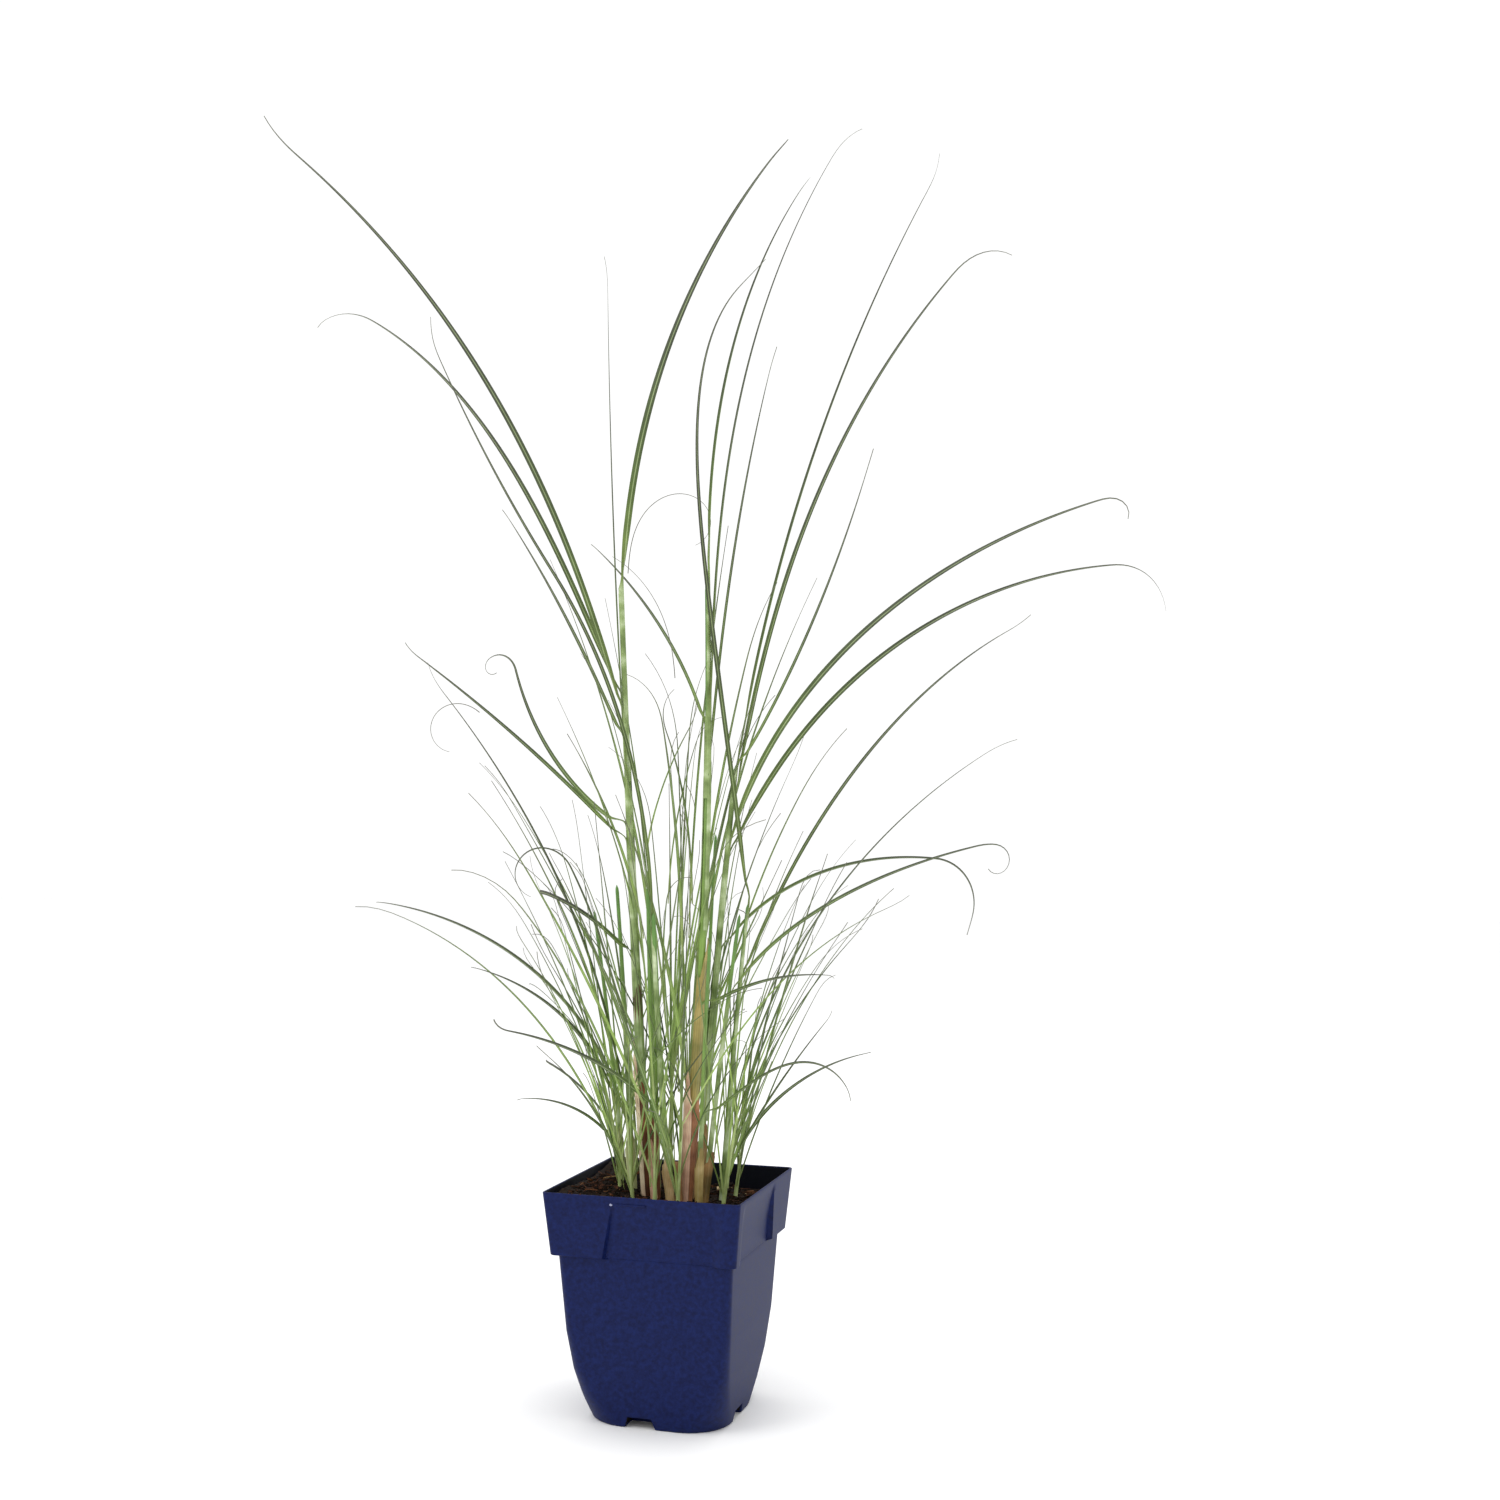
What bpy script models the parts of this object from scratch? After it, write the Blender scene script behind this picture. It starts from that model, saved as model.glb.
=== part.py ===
"""A clump of miscanthus grass in a square plastic nursery pot.

The pot stands on Z = 0 with its underside's centre at the origin. X runs to the right along its front
face and Y runs away from the viewer. The soil fills the pot, the culms stand on the soil, and each leaf
grows from a culm. All lengths are in metres and all angles in degrees.
"""
import math
from collections import namedtuple

import bmesh
import bpy
from mathutils import Matrix, Vector

OBJECT_NAME = "potted_miscanthus"
MM = 0.001
FIT_GAP = 0.3 * MM

# Pot: a square rim of 114.3 mm, 131 mm tall, with a collar that stands proud of the body. Between the
# collar's corner ears each side is a panel that starts level with the body and flares out to the rim.
POT_HEIGHT = 131 * MM
POT_WALL = 1.2 * MM
RIM_HALF = 57.15 * MM
COLLAR_BOTTOM = 95.5 * MM
COLLAR_BOTTOM_HALF = 53.7 * MM
COLLAR_CORNER = 2.5 * MM
PANEL_HALF = 50.8 * MM
PANEL_FLARE_START = 97 * MM
PANEL_FLARE_END = 129 * MM
EAR_AT_RIM = 42 * MM
EAR_AT_BOTTOM = 31 * MM
SMALL_EAR = 8 * MM
EAR_STEP = 1.0 * MM
CORNER_STEPS = 4
LEDGE = 0.6 * MM
INNER_EAR_SHIFT = 0.8 * MM

# Body sections, from the base up: height, half width, corner radius.
BODY_SECTIONS = (
    (0 * MM, 40.5 * MM, 25 * MM),
    (4 * MM, 41.4 * MM, 23 * MM),
    (14 * MM, 43.0 * MM, 16 * MM),
    (30 * MM, 45.4 * MM, 9.5 * MM),
    (52 * MM, 47.8 * MM, 6 * MM),
    (COLLAR_BOTTOM - LEDGE, 50.5 * MM, 4 * MM),
)
COLLAR_HEIGHTS = (COLLAR_BOTTOM, PANEL_FLARE_START, PANEL_FLARE_END, POT_HEIGHT)

# Drain notches: one in each face's foot, nearer one corner, and open to the soil.
NOTCH_CENTRE = -5.2 * MM
NOTCH_BOTTOM_WIDTH = 21.5 * MM
NOTCH_TOP_WIDTH = 14 * MM
NOTCH_HEIGHT = 6.3 * MM
NOTCH_DEPTH = 13 * MM
CUT_OVERSHOOT = 5 * MM

# Soil: a plug that follows the wall, its top higher on the left.
SOIL_INSET = POT_WALL + 0.6 * MM
SOIL_TOP = 118.5 * MM
SOIL_TILT = 3.0 * MM
SOIL_ROUGHNESS = 1.0 * MM
SOIL_TOP_RINGS = (0.82, 0.6, 0.35)
SOIL_LUMP_X = 7 * MM
SOIL_LUMP_Y = 9 * MM
CLUMP_FLAT = 54 * MM
CLUMP_EDGE = 20 * MM

# Grass.
LEAF_ROWS = 11
LEAF_THICKNESS = 0.6 * MM
LEAF_TIP_WIDTH = 0.5 * MM
LEAF_STAND_OFF = 0.9 * MM
LEAF_FOOT_SHARE = 0.75
LEAF_FOOT_REACH = 0.1
TAPER_FROM = 0.35
TAPER_POWER = 1.3
STEM_LIFT = 1.0 * MM
CULM_ROWS = 7
SHOOT_ROWS = 6
SHOOT_RADIUS_BASE = 1.6 * MM
SHOOT_RADIUS_TIP = 0.35 * MM
STEPS_PER_ROW = 6

Culm = namedtuple("Culm", "x y heading lean_base lean_tip length radius_base radius_tip")
LEAF_FIELDS = "culm height heading lean_base lean_tip length bend width hook hook_from tip"
Leaf = namedtuple("Leaf", LEAF_FIELDS, defaults=(0, 1.0, 0.12))
Shoot = namedtuple("Shoot", "x y heading lean_base lean_tip length")

# Culms: place on the soil (mm), heading, lean at the base and at the tip, length (mm), radii (mm).
CULMS = (
    Culm(-17, 7, 198, 3, 2, 356, 2.5, 1.9),
    Culm(10, -5, 18, 5, -1, 356, 3.2, 1.8),
    Culm(4, -13, 198, 5, 2, 165, 2.3, 1.7),
    Culm(14, 6, 18, 4, 6, 250, 2.3, 1.5),
    Culm(20, -1, 18, 6, 8, 165, 1.9, 1.3),
    Culm(28, 7, 18, 4, 6, 170, 1.8, 1.2),
    Culm(-38, 24, 198, 4, 8, 165, 1.9, 1.3),
    Culm(-27, 10, 198, 2, 4, 180, 2.2, 1.4),
    Culm(-9, -1, 198, 2, 1, 180, 2.2, 1.5),
    Culm(8, 31, 78, 3, 7, 210, 1.8, 1.2),
    Culm(-18, 30, 128, 3, 8, 190, 1.8, 1.2),
    Culm(22, -18, 308, 4, 9, 150, 1.7, 1.1),
)

# Leaves: the culm each grows from and the height on it (mm), heading, lean at the base and at the tip,
# length (mm), how late it bends and width (mm). A hooked blade adds the hook's extra bend and where it
# starts. A cut blade adds the share of its width that the tip keeps.
LEAVES = (
    Leaf(1, 278, 222, 17, 58, 384, 1.4, 3.6),
    Leaf(1, 286, 178, 24, 70, 334, 2.2, 3.4, 45, 0.88),
    Leaf(3, 150, 172, 0, 65, 408, 1.05, 2.4, -40, 0.55),
    Leaf(1, 262, 150, 32, 44, 192, 1.0, 2.2),
    Leaf(1, 236, 262, 8, 1, 302, 1.0, 2.4),
    Leaf(1, 357, 348, 4, 49, 268, 1.2, 4.2),
    Leaf(6, 170, 48, -9, 66, 385, 5.5, 2.8),
    Leaf(2, 357, 48, -1, 37, 258, 1.2, 3.8),
    Leaf(2, 282, 346, 2, 42, 335, 1.8, 3.0),
    Leaf(2, 250, 78, 9, 27, 270, 1.0, 1.8),
    Leaf(4, 250, 40, 10, 31, 396, 1.0, 3.4),
    Leaf(4, 226, 3, 10, 48, 362, 1.5, 3.4),
    Leaf(4, 247, 325, 45, 24, 202, 1.0, 1.8),
    Leaf(4, 200, 356, 10, 80, 318, 0.74, 3.6, 60, 0.93),
    Leaf(4, 196, 30, 23, 94, 360, 1.0, 3.4, 55, 0.86),
    Leaf(6, 125, 58, 26, 69, 350, 0.9, 2.2),
    Leaf(6, 40, 338, 15, 65, 296, 1.0, 2.0),
    Leaf(4, 140, 32, 22, 112, 210, 0.62, 2.8, 110, 0.72),
    Leaf(5, 116, 8, 14, 82, 210, 0.42, 2.8, 120, 0.85),
    Leaf(2, 110, 328, 62, 91, 112, 1.0, 2.0),
    Leaf(6, 10, 38, 14, 84, 124, 0.8, 2.2),
    Leaf(6, 15, 340, 31, 43, 122, 1.0, 2.4),
    Leaf(12, 50, 335, 55, 165, 122, 3.4, 2.2),
    Leaf(1, 212, 168, 62, 2, 168, 1.0, 2.6, 190, 0.76),
    Leaf(1, 203, 208, 43, 54, 172, 1.0, 2.8),
    Leaf(8, 35, 223, 6, 42, 300, 0.9, 2.6),
    Leaf(8, 100, 183, 14, 40, 160, 1.3, 2.4, 170, 0.6),
    Leaf(1, 137, 238, 44, 72, 78, 1.0, 3.4, 0, 1.0, 0.75),
    Leaf(7, 62, 190, 19, 84, 192, 0.85, 3.0),
    Leaf(7, 50, 233, 15, 76, 136, 0.8, 2.4),
    Leaf(3, 50, 228, 40, 80, 122, 0.8, 2.8, 0, 1.0, 0.3),
    Leaf(7, 30, 163, 36, 72, 70, 1.0, 2.8, 0, 1.0, 0.75),
    Leaf(7, 24, 205, 32, 96, 70, 1.0, 2.2),
    Leaf(2, 268, 150, 12, 56, 165, 0.5, 2.0),
)

# Young shoots: place on the soil (mm), heading, lean at the base and at the tip, length (mm).
SHOOTS = (
    Shoot(-30, -2, 250, 6, 26, 160),
    Shoot(-20, -10, 270, 8, 34, 210),
    Shoot(-4, -18, 290, 6, 30, 200),
    Shoot(12, -26, 300, 10, 38, 190),
    Shoot(33, -8, 340, 8, 30, 180),
    Shoot(32, 20, 50, 8, 30, 170),
    Shoot(24, 28, 60, 8, 30, 200),
    Shoot(4, 18, 100, 4, 16, 240),
    Shoot(-6, 38, 110, 10, 36, 220),
    Shoot(-30, 40, 140, 8, 32, 190),
    Shoot(-34, 14, 200, 6, 24, 170),
    Shoot(-8, 15, 30, 2, 8, 250),
)


def new_collection(name):
    """A collection linked to the scene, for one kind of object."""
    collection = bpy.data.collections.new(name)
    bpy.context.scene.collection.children.link(collection)
    return collection


def plain_material(name, colour, roughness):
    """A Principled material with one colour and one roughness."""
    material = bpy.data.materials.new(name)
    material.use_nodes = True
    shader = material.node_tree.nodes["Principled BSDF"]
    shader.inputs["Base Color"].default_value = (*colour, 1.0)
    shader.inputs["Roughness"].default_value = roughness
    shader.inputs["Metallic"].default_value = 0.0
    return material


def add_object(name, data, material, collection):
    """Link a mesh or curve as a named object with its own material."""
    data.materials.append(material)
    item = bpy.data.objects.new(name, data)
    collection.objects.link(item)
    return item


def mix(low, high, share):
    """Straight mix of two values."""
    return low + (high - low) * share


def collar_half(height):
    """Half width of the collar at a height: a straight draft up to the rim."""
    share = (height - COLLAR_BOTTOM) / (POT_HEIGHT - COLLAR_BOTTOM)
    return mix(COLLAR_BOTTOM_HALF, RIM_HALF, share)


def panel_half(height):
    """Half width of the panels, which flare out from the body to meet the collar below the rim."""
    share = (height - PANEL_FLARE_START) / (PANEL_FLARE_END - PANEL_FLARE_START)
    share = min(max(share, 0.0), 1.0)
    return mix(PANEL_HALF, collar_half(height), share)


def ear_marks(height, shift):
    """Shares along a side where the large ear ends, the panel runs and the small ear starts.

    A shift moves the ears' ends towards their corners, which leaves the inner wall its thickness.
    """
    share = (height - COLLAR_BOTTOM) / (POT_HEIGHT - COLLAR_BOTTOM)
    share = min(max(share, 0.0), 1.0)
    half = collar_half(max(height, COLLAR_BOTTOM))
    straight = half - COLLAR_CORNER
    ear_end = -half + mix(EAR_AT_BOTTOM, EAR_AT_RIM, share) - shift
    small_start = half - SMALL_EAR + shift
    marks = (ear_end, ear_end + EAR_STEP, 0.0, small_start - EAR_STEP, small_start)
    return [mark / straight for mark in marks]


def pot_ring(height, ear_half, panel, corner, shift=0.0):
    """One closed section of the pot at a height, as points that run round its four sides."""
    points = []
    straight = ear_half - corner
    for side in range(4):
        turn = Matrix.Rotation(math.radians(90 * side), 3, "Z")
        mirrored = side % 2 == 1
        marks = ear_marks(height, shift)
        outs = [ear_half, panel, panel, panel, ear_half]
        if mirrored:
            marks = [-mark for mark in reversed(marks)]
            outs = outs[::-1]
        for mark, out in zip(marks, outs):
            points.append(turn @ Vector((mark * straight, -out, height)))
        for step in range(CORNER_STEPS + 1):
            angle = math.radians(-90 + 90 * step / CORNER_STEPS)
            along = straight + corner * math.cos(angle)
            out = straight - corner * math.sin(angle)
            points.append(turn @ Vector((along, -out, height)))
    return points


def skin_rings(name, rings):
    """A closed surface through rings of points, with a face across each end."""
    mesh = bmesh.new()
    rows = [[mesh.verts.new(point) for point in ring] for ring in rings]
    count = len(rows[0])
    for lower, upper in zip(rows, rows[1:]):
        for column in range(count):
            after = (column + 1) % count
            mesh.faces.new((lower[column], lower[after], upper[after], upper[column]))
    mesh.faces.new(rows[0][::-1])
    mesh.faces.new(rows[-1])
    bmesh.ops.recalc_face_normals(mesh, faces=mesh.faces)
    data = bpy.data.meshes.new(name)
    mesh.to_mesh(data)
    mesh.free()
    return data


def notch_cutter(side, margin, collection):
    """A tapered block that cuts one drain notch, grown by a margin on each face."""
    reach = BODY_SECTIONS[0][1] + CUT_OVERSHOOT
    depth = NOTCH_DEPTH + CUT_OVERSHOOT + margin
    cutter_mesh = bmesh.new()
    bmesh.ops.create_cube(cutter_mesh, size=1.0)
    top = NOTCH_HEIGHT + margin
    for vert in cutter_mesh.verts:
        is_top = vert.co.z > 0
        width = NOTCH_TOP_WIDTH if is_top else NOTCH_BOTTOM_WIDTH
        vert.co.x = NOTCH_CENTRE + vert.co.x * (width + 2 * margin)
        vert.co.y = -reach + depth * (vert.co.y + 0.5)
        vert.co.z = top if is_top else -CUT_OVERSHOOT
    bmesh.ops.rotate(
        cutter_mesh,
        verts=cutter_mesh.verts,
        cent=(0, 0, 0),
        matrix=Matrix.Rotation(math.radians(90 * side), 3, "Z"),
    )
    data = bpy.data.meshes.new(f"notch_cutter_{side}")
    cutter_mesh.to_mesh(data)
    cutter_mesh.free()
    cutter = bpy.data.objects.new(data.name, data)
    cutter.hide_render = True
    cutter.display_type = "WIRE"
    collection.objects.link(cutter)
    return cutter


def cut_notches(item, margin, collection):
    """Subtract the four drain notches from an object."""
    for side in range(4):
        modifier = item.modifiers.new(f"notch_{side}", "BOOLEAN")
        modifier.operation = "DIFFERENCE"
        modifier.solver = "EXACT"
        modifier.object = notch_cutter(side, margin, collection)


def body_ring(section, inset):
    """A body section, moved in by an inset; the inner corners keep a small radius."""
    height, half, corner = section
    return pot_ring(height, half - inset, half - inset, max(corner - inset, COLLAR_CORNER))


def collar_ring(height, inset, shift):
    """A collar section with its ears and panels, moved in by an inset."""
    ears = collar_half(height) - inset
    return pot_ring(height, ears, panel_half(height) - inset, COLLAR_CORNER, shift)


def build_pot(parts, cutters, material):
    """The pot: a loft up its outside and down its inside, then cut by the drain notches."""
    rings = [body_ring(section, 0.0) for section in BODY_SECTIONS]
    rings += [collar_ring(height, 0.0, 0.0) for height in COLLAR_HEIGHTS]
    inner_heights = (COLLAR_BOTTOM + POT_WALL, *COLLAR_HEIGHTS[1:])
    for height in reversed(inner_heights):
        rings.append(collar_ring(height, POT_WALL, INNER_EAR_SHIFT))
    neck_height, neck_half, neck_corner = BODY_SECTIONS[-1]
    floor_height, floor_half, floor_corner = BODY_SECTIONS[0]
    inner_sections = (
        (floor_height + POT_WALL, floor_half, floor_corner),
        *BODY_SECTIONS[1:-1],
        (neck_height + POT_WALL, neck_half, neck_corner),
    )
    for section in reversed(inner_sections):
        rings.append(body_ring(section, POT_WALL))
    pot = add_object("pot", skin_rings("pot", rings), material, parts)
    cut_notches(pot, 0.0, cutters)
    return pot


def soil_height(x, y):
    """Height of the soil's top: a tilt towards the left and soft lumps away from the clump."""
    away = min(max((math.hypot(x, y) - CLUMP_FLAT) / CLUMP_EDGE, 0.0), 1.0)
    lumps = math.sin(x / SOIL_LUMP_X) * math.cos(y / SOIL_LUMP_Y)
    return SOIL_TOP + away * (-SOIL_TILT * x / RIM_HALF + SOIL_ROUGHNESS * lumps)


def soil_top_ring(shrink):
    """One ring of the soil's top, scaled towards the middle and laid on the uneven surface."""
    points = []
    half = panel_half(SOIL_TOP) - SOIL_INSET
    for point in pot_ring(0.0, half, half, COLLAR_CORNER):
        x = point.x * shrink
        y = point.y * shrink
        points.append(Vector((x, y, soil_height(x, y))))
    return points


def build_soil(parts, cutters, material):
    """The soil: a plug inside the wall with an uneven top."""
    floor_height, floor_half, floor_corner = BODY_SECTIONS[0]
    rings = [body_ring((floor_height + SOIL_INSET, floor_half, floor_corner), SOIL_INSET)]
    rings += [body_ring(section, SOIL_INSET) for section in BODY_SECTIONS[1:]]
    rings += [soil_top_ring(shrink) for shrink in (1.0, *SOIL_TOP_RINGS)]
    soil = add_object("soil", skin_rings("soil", rings), material, parts)
    cut_notches(soil, FIT_GAP, cutters)
    return soil


def direction(heading, lean):
    """Unit vector that leans from upright by lean degrees, towards a heading seen from above."""
    turn = math.radians(heading)
    tilt = math.radians(lean)
    return Vector((math.sin(tilt) * math.cos(turn), math.sin(tilt) * math.sin(turn), math.cos(tilt)))


def blade_lean(share, lean_base, lean_tip, bend, hook, hook_from):
    """Lean at a share of the length: a power curve, plus a hook near the tip."""
    lean = lean_base + (lean_tip - lean_base) * share**bend
    if share > hook_from:
        lean += hook * (share - hook_from) / (1.0 - hook_from)
    return lean


def grow_path(start, heading, lean_at, length, rows):
    """Points along a stem or blade, found by stepping along its changing direction."""
    point = Vector(start)
    points = [point.copy()]
    steps = rows * STEPS_PER_ROW
    for count in range(steps):
        share = (count + 0.5) / steps
        point = point + direction(heading, lean_at(share)) * length / steps
        if (count + 1) % STEPS_PER_ROW == 0:
            points.append(point.copy())
    return points


def culm_path(culm, length, rows):
    """Points along a culm, from just above the soil."""
    base_x = culm.x * MM
    base_y = culm.y * MM
    start = (base_x, base_y, soil_height(base_x, base_y) + STEM_LIFT)
    whole = culm.length * MM

    def lean_at(share):
        return mix(culm.lean_base, culm.lean_tip, share * length / whole)

    return grow_path(start, culm.heading, lean_at, length, rows)


def tapered_tube(name, points, radii, sides_level, material, parts):
    """A round stem: a POLY curve with a bevel, its radius set point by point."""
    curve = bpy.data.curves.new(name, "CURVE")
    curve.dimensions = "3D"
    curve.bevel_depth = 1.0
    curve.bevel_resolution = sides_level
    curve.use_fill_caps = True
    spline = curve.splines.new("POLY")
    spline.points.add(len(points) - 1)
    for knot, point, radius in zip(spline.points, points, radii):
        knot.co = (*point, 1.0)
        knot.radius = radius
    return add_object(name, curve, material, parts)


def build_culm(index, culm, parts, material):
    """One culm, widest at its base where the sheaths wrap it."""
    points = culm_path(culm, culm.length * MM, CULM_ROWS)
    radii = [
        mix(culm.radius_base, culm.radius_tip, row / CULM_ROWS) * MM for row in range(CULM_ROWS + 1)
    ]
    return tapered_tube(f"culm_{index:02d}", points, radii, 1, material, parts)


def leaf_start(leaf):
    """Where a leaf leaves its culm: on the culm's surface, towards the leaf's heading."""
    culm = CULMS[leaf.culm - 1]
    height = leaf.height * MM
    if leaf.height >= culm.length:
        return culm_path(culm, culm.length * MM, CULM_ROWS)[-1] + Vector((0, 0, STEM_LIFT))
    axis = culm_path(culm, height, CULM_ROWS)[-1]
    radius = mix(culm.radius_base, culm.radius_tip, leaf.height / culm.length) * MM
    return axis + direction(leaf.heading, 90) * (radius + LEAF_STAND_OFF)


def blade_half_width(share, leaf):
    """Half width along a blade: full over the lower half, then narrowing to the tip."""
    narrowing = max(share - TAPER_FROM, 0.0) / (1.0 - TAPER_FROM)
    foot = mix(LEAF_FOOT_SHARE, 1.0, min(share / LEAF_FOOT_REACH, 1.0))
    half = 0.5 * leaf.width * MM * foot * (1.0 - (1.0 - leaf.tip) * narrowing**TAPER_POWER)
    return max(half, 0.5 * LEAF_TIP_WIDTH)


def build_leaf(index, leaf, parts, material):
    """One blade: a grid laid along its path, tapered, and given its thickness by Solidify."""
    name = f"leaf_{index:02d}"

    def lean_at(share):
        return blade_lean(share, leaf.lean_base, leaf.lean_tip, leaf.bend, leaf.hook, leaf.hook_from)

    path = grow_path(leaf_start(leaf), leaf.heading, lean_at, leaf.length * MM, LEAF_ROWS)
    across = direction(leaf.heading + 90, 90)
    strip = bmesh.new()
    bmesh.ops.create_grid(strip, x_segments=1, y_segments=LEAF_ROWS, size=1.0)
    for vert in strip.verts:
        row = round((vert.co.y + 1.0) * 0.5 * LEAF_ROWS)
        side = math.copysign(1.0, vert.co.x)
        vert.co = path[row] + across * side * blade_half_width(row / LEAF_ROWS, leaf)
    data = bpy.data.meshes.new(name)
    strip.to_mesh(data)
    strip.free()
    blade = add_object(name, data, material, parts)
    body = blade.modifiers.new("blade_thickness", "SOLIDIFY")
    body.thickness = LEAF_THICKNESS
    body.offset = 0.0
    return blade


def build_shoot(index, shoot, parts, material):
    """One young shoot: a slender spike that reaches as far as its fine leaves."""
    x = shoot.x * MM
    y = shoot.y * MM
    start = (x, y, soil_height(x, y) + STEM_LIFT)

    def lean_at(share):
        return mix(shoot.lean_base, shoot.lean_tip, share)

    points = grow_path(start, shoot.heading, lean_at, shoot.length * MM, SHOOT_ROWS)
    radii = [
        mix(SHOOT_RADIUS_BASE, SHOOT_RADIUS_TIP, row / SHOOT_ROWS) for row in range(SHOOT_ROWS + 1)
    ]
    return tapered_tube(f"young_shoot_{index:02d}", points, radii, 0, material, parts)


def main():
    """Clear the scene and build every piece of the potted clump."""
    for item in list(bpy.data.objects):
        bpy.data.objects.remove(item, do_unlink=True)
    parts = new_collection(OBJECT_NAME)
    cutters = new_collection("cutters")
    plastic = plain_material("navy_moulded_plastic", (0.012, 0.020, 0.105), 0.45)
    peat = plain_material("peat_and_bark", (0.030, 0.014, 0.008), 0.95)
    stem = plain_material("green_culm", (0.16, 0.25, 0.05), 0.5)
    blade = plain_material("green_blade", (0.12, 0.20, 0.05), 0.5)
    young = plain_material("young_blade", (0.17, 0.29, 0.07), 0.5)
    build_pot(parts, cutters, plastic)
    build_soil(parts, cutters, peat)
    for index, culm in enumerate(CULMS, 1):
        build_culm(index, culm, parts, stem)
    for index, leaf in enumerate(LEAVES, 1):
        build_leaf(index, leaf, parts, blade)
    for index, shoot in enumerate(SHOOTS, 1):
        build_shoot(index, shoot, parts, young)


main()
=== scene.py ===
# %% [markdown]
# # A potted clump of miscanthus grass
#
# A young miscanthus in a square nursery pot: a few upright culms wrapped in leaf sheaths, long narrow
# blades that arch away from them and end in dry threads, tufts of fine young leaves round the foot, and
# dark potting soil inside a thin moulded pot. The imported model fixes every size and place. This script
# keeps those places and makes the surfaces.
#
# Every shape here is a function of two parameters, worked out as whole numpy arrays. A grass plant suits
# that well, because a blade, a sheath and a stem are all one cross-section carried along one path.

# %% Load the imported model
from collections import namedtuple
from functools import partial

import bpy
import numpy as np
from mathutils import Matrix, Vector


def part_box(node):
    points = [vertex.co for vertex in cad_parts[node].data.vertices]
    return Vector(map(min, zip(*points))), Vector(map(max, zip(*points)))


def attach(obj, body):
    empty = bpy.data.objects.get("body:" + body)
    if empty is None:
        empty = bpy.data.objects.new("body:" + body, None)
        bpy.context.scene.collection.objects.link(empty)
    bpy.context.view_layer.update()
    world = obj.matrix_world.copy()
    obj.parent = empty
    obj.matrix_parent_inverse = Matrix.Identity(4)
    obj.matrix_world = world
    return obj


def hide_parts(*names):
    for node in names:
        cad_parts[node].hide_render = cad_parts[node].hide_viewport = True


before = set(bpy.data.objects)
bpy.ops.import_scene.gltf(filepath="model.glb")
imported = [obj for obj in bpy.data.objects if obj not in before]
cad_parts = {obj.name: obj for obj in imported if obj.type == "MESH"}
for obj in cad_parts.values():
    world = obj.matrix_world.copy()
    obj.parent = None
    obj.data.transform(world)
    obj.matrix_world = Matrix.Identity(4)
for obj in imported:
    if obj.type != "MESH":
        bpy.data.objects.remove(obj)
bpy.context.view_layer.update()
MM = 0.001
BODY = "root"

# %% [markdown]
# ## The camera
#
# The plant is seen from a little to the right of the pot's front face, from a tripod about a metre away
# whose height is level with the middle of the grass. The camera is kept level, so the culms stay
# upright, and a small shift frames the plant instead of a tilt.

# %% Place the camera
CAMERA_TURN = np.radians(18.2)
CAMERA_DISTANCE = 1.035
CAMERA_HEIGHT = 0.334
VIEW_SPAN = 0.86
VIEW_CENTRE_RIGHT = 0.045
VIEW_CENTRE_UP = 0.377

camera_data = bpy.data.cameras.new("camera")
camera = bpy.data.objects.new("camera", camera_data)
bpy.context.scene.collection.objects.link(camera)
camera.location = (
    CAMERA_DISTANCE * np.sin(CAMERA_TURN),
    -CAMERA_DISTANCE * np.cos(CAMERA_TURN),
    CAMERA_HEIGHT,
)
camera.rotation_euler = (np.radians(90), 0, CAMERA_TURN)
camera_data.sensor_width = 36
camera_data.lens = camera_data.sensor_width * CAMERA_DISTANCE / VIEW_SPAN
camera_data.shift_x = VIEW_CENTRE_RIGHT / VIEW_SPAN
camera_data.shift_y = (VIEW_CENTRE_UP - CAMERA_HEIGHT) / VIEW_SPAN
bpy.context.scene.camera = camera
print("lens:", round(camera_data.lens, 1), "mm")

# %% [markdown]
# ## Small helpers
#
# Colours are written as the sRGB hex values a painter would pick, and one function turns them into the
# linear values that Blender's shaders count in. A second function adds one shader node with its settings
# and its links. A third writes arrays of points and faces into a mesh in one go, which is much quicker
# than adding them one by one.


# %% Colour and node helpers
def linear(code):
    """Linear colour of an sRGB code: c / 12.92 up to 0.04045, and ((c + 0.055) / 1.055)^2.4 above."""
    channels = np.array([int(code[place : place + 2], 16) for place in (1, 3, 5)]) / 255
    low = channels / 12.92
    high = ((channels + 0.055) / 1.055) ** 2.4
    return (*np.where(channels <= 0.04045, low, high), 1.0)


def add_node(material, kind, inputs=(), stops=(), **settings):
    """Add one shader node: inputs maps a socket to a value or a link, stops fill a colour ramp."""
    tree = material.node_tree
    node = tree.nodes.new(kind)
    for key, value in settings.items():
        setattr(node, key, value)
    for socket, value in dict(inputs).items():
        if isinstance(value, bpy.types.NodeSocket):
            tree.links.new(value, node.inputs[socket])
        else:
            node.inputs[socket].default_value = value
    for number, (position, code) in enumerate(stops):
        if number > 1:
            node.color_ramp.elements.new(position)
        node.color_ramp.elements[number].position = position
        node.color_ramp.elements[number].color = linear(code)
    return node


def new_material(name):
    """A material whose node tree is empty but for its output node."""
    material = bpy.data.materials.new(name)
    material.use_nodes = True
    material.node_tree.nodes.clear()
    return material


def finish_material(material, shader):
    """Link the shader to the material's output."""
    add_node(material, "ShaderNodeOutputMaterial", {"Surface": shader.outputs[0]})
    return material


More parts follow.
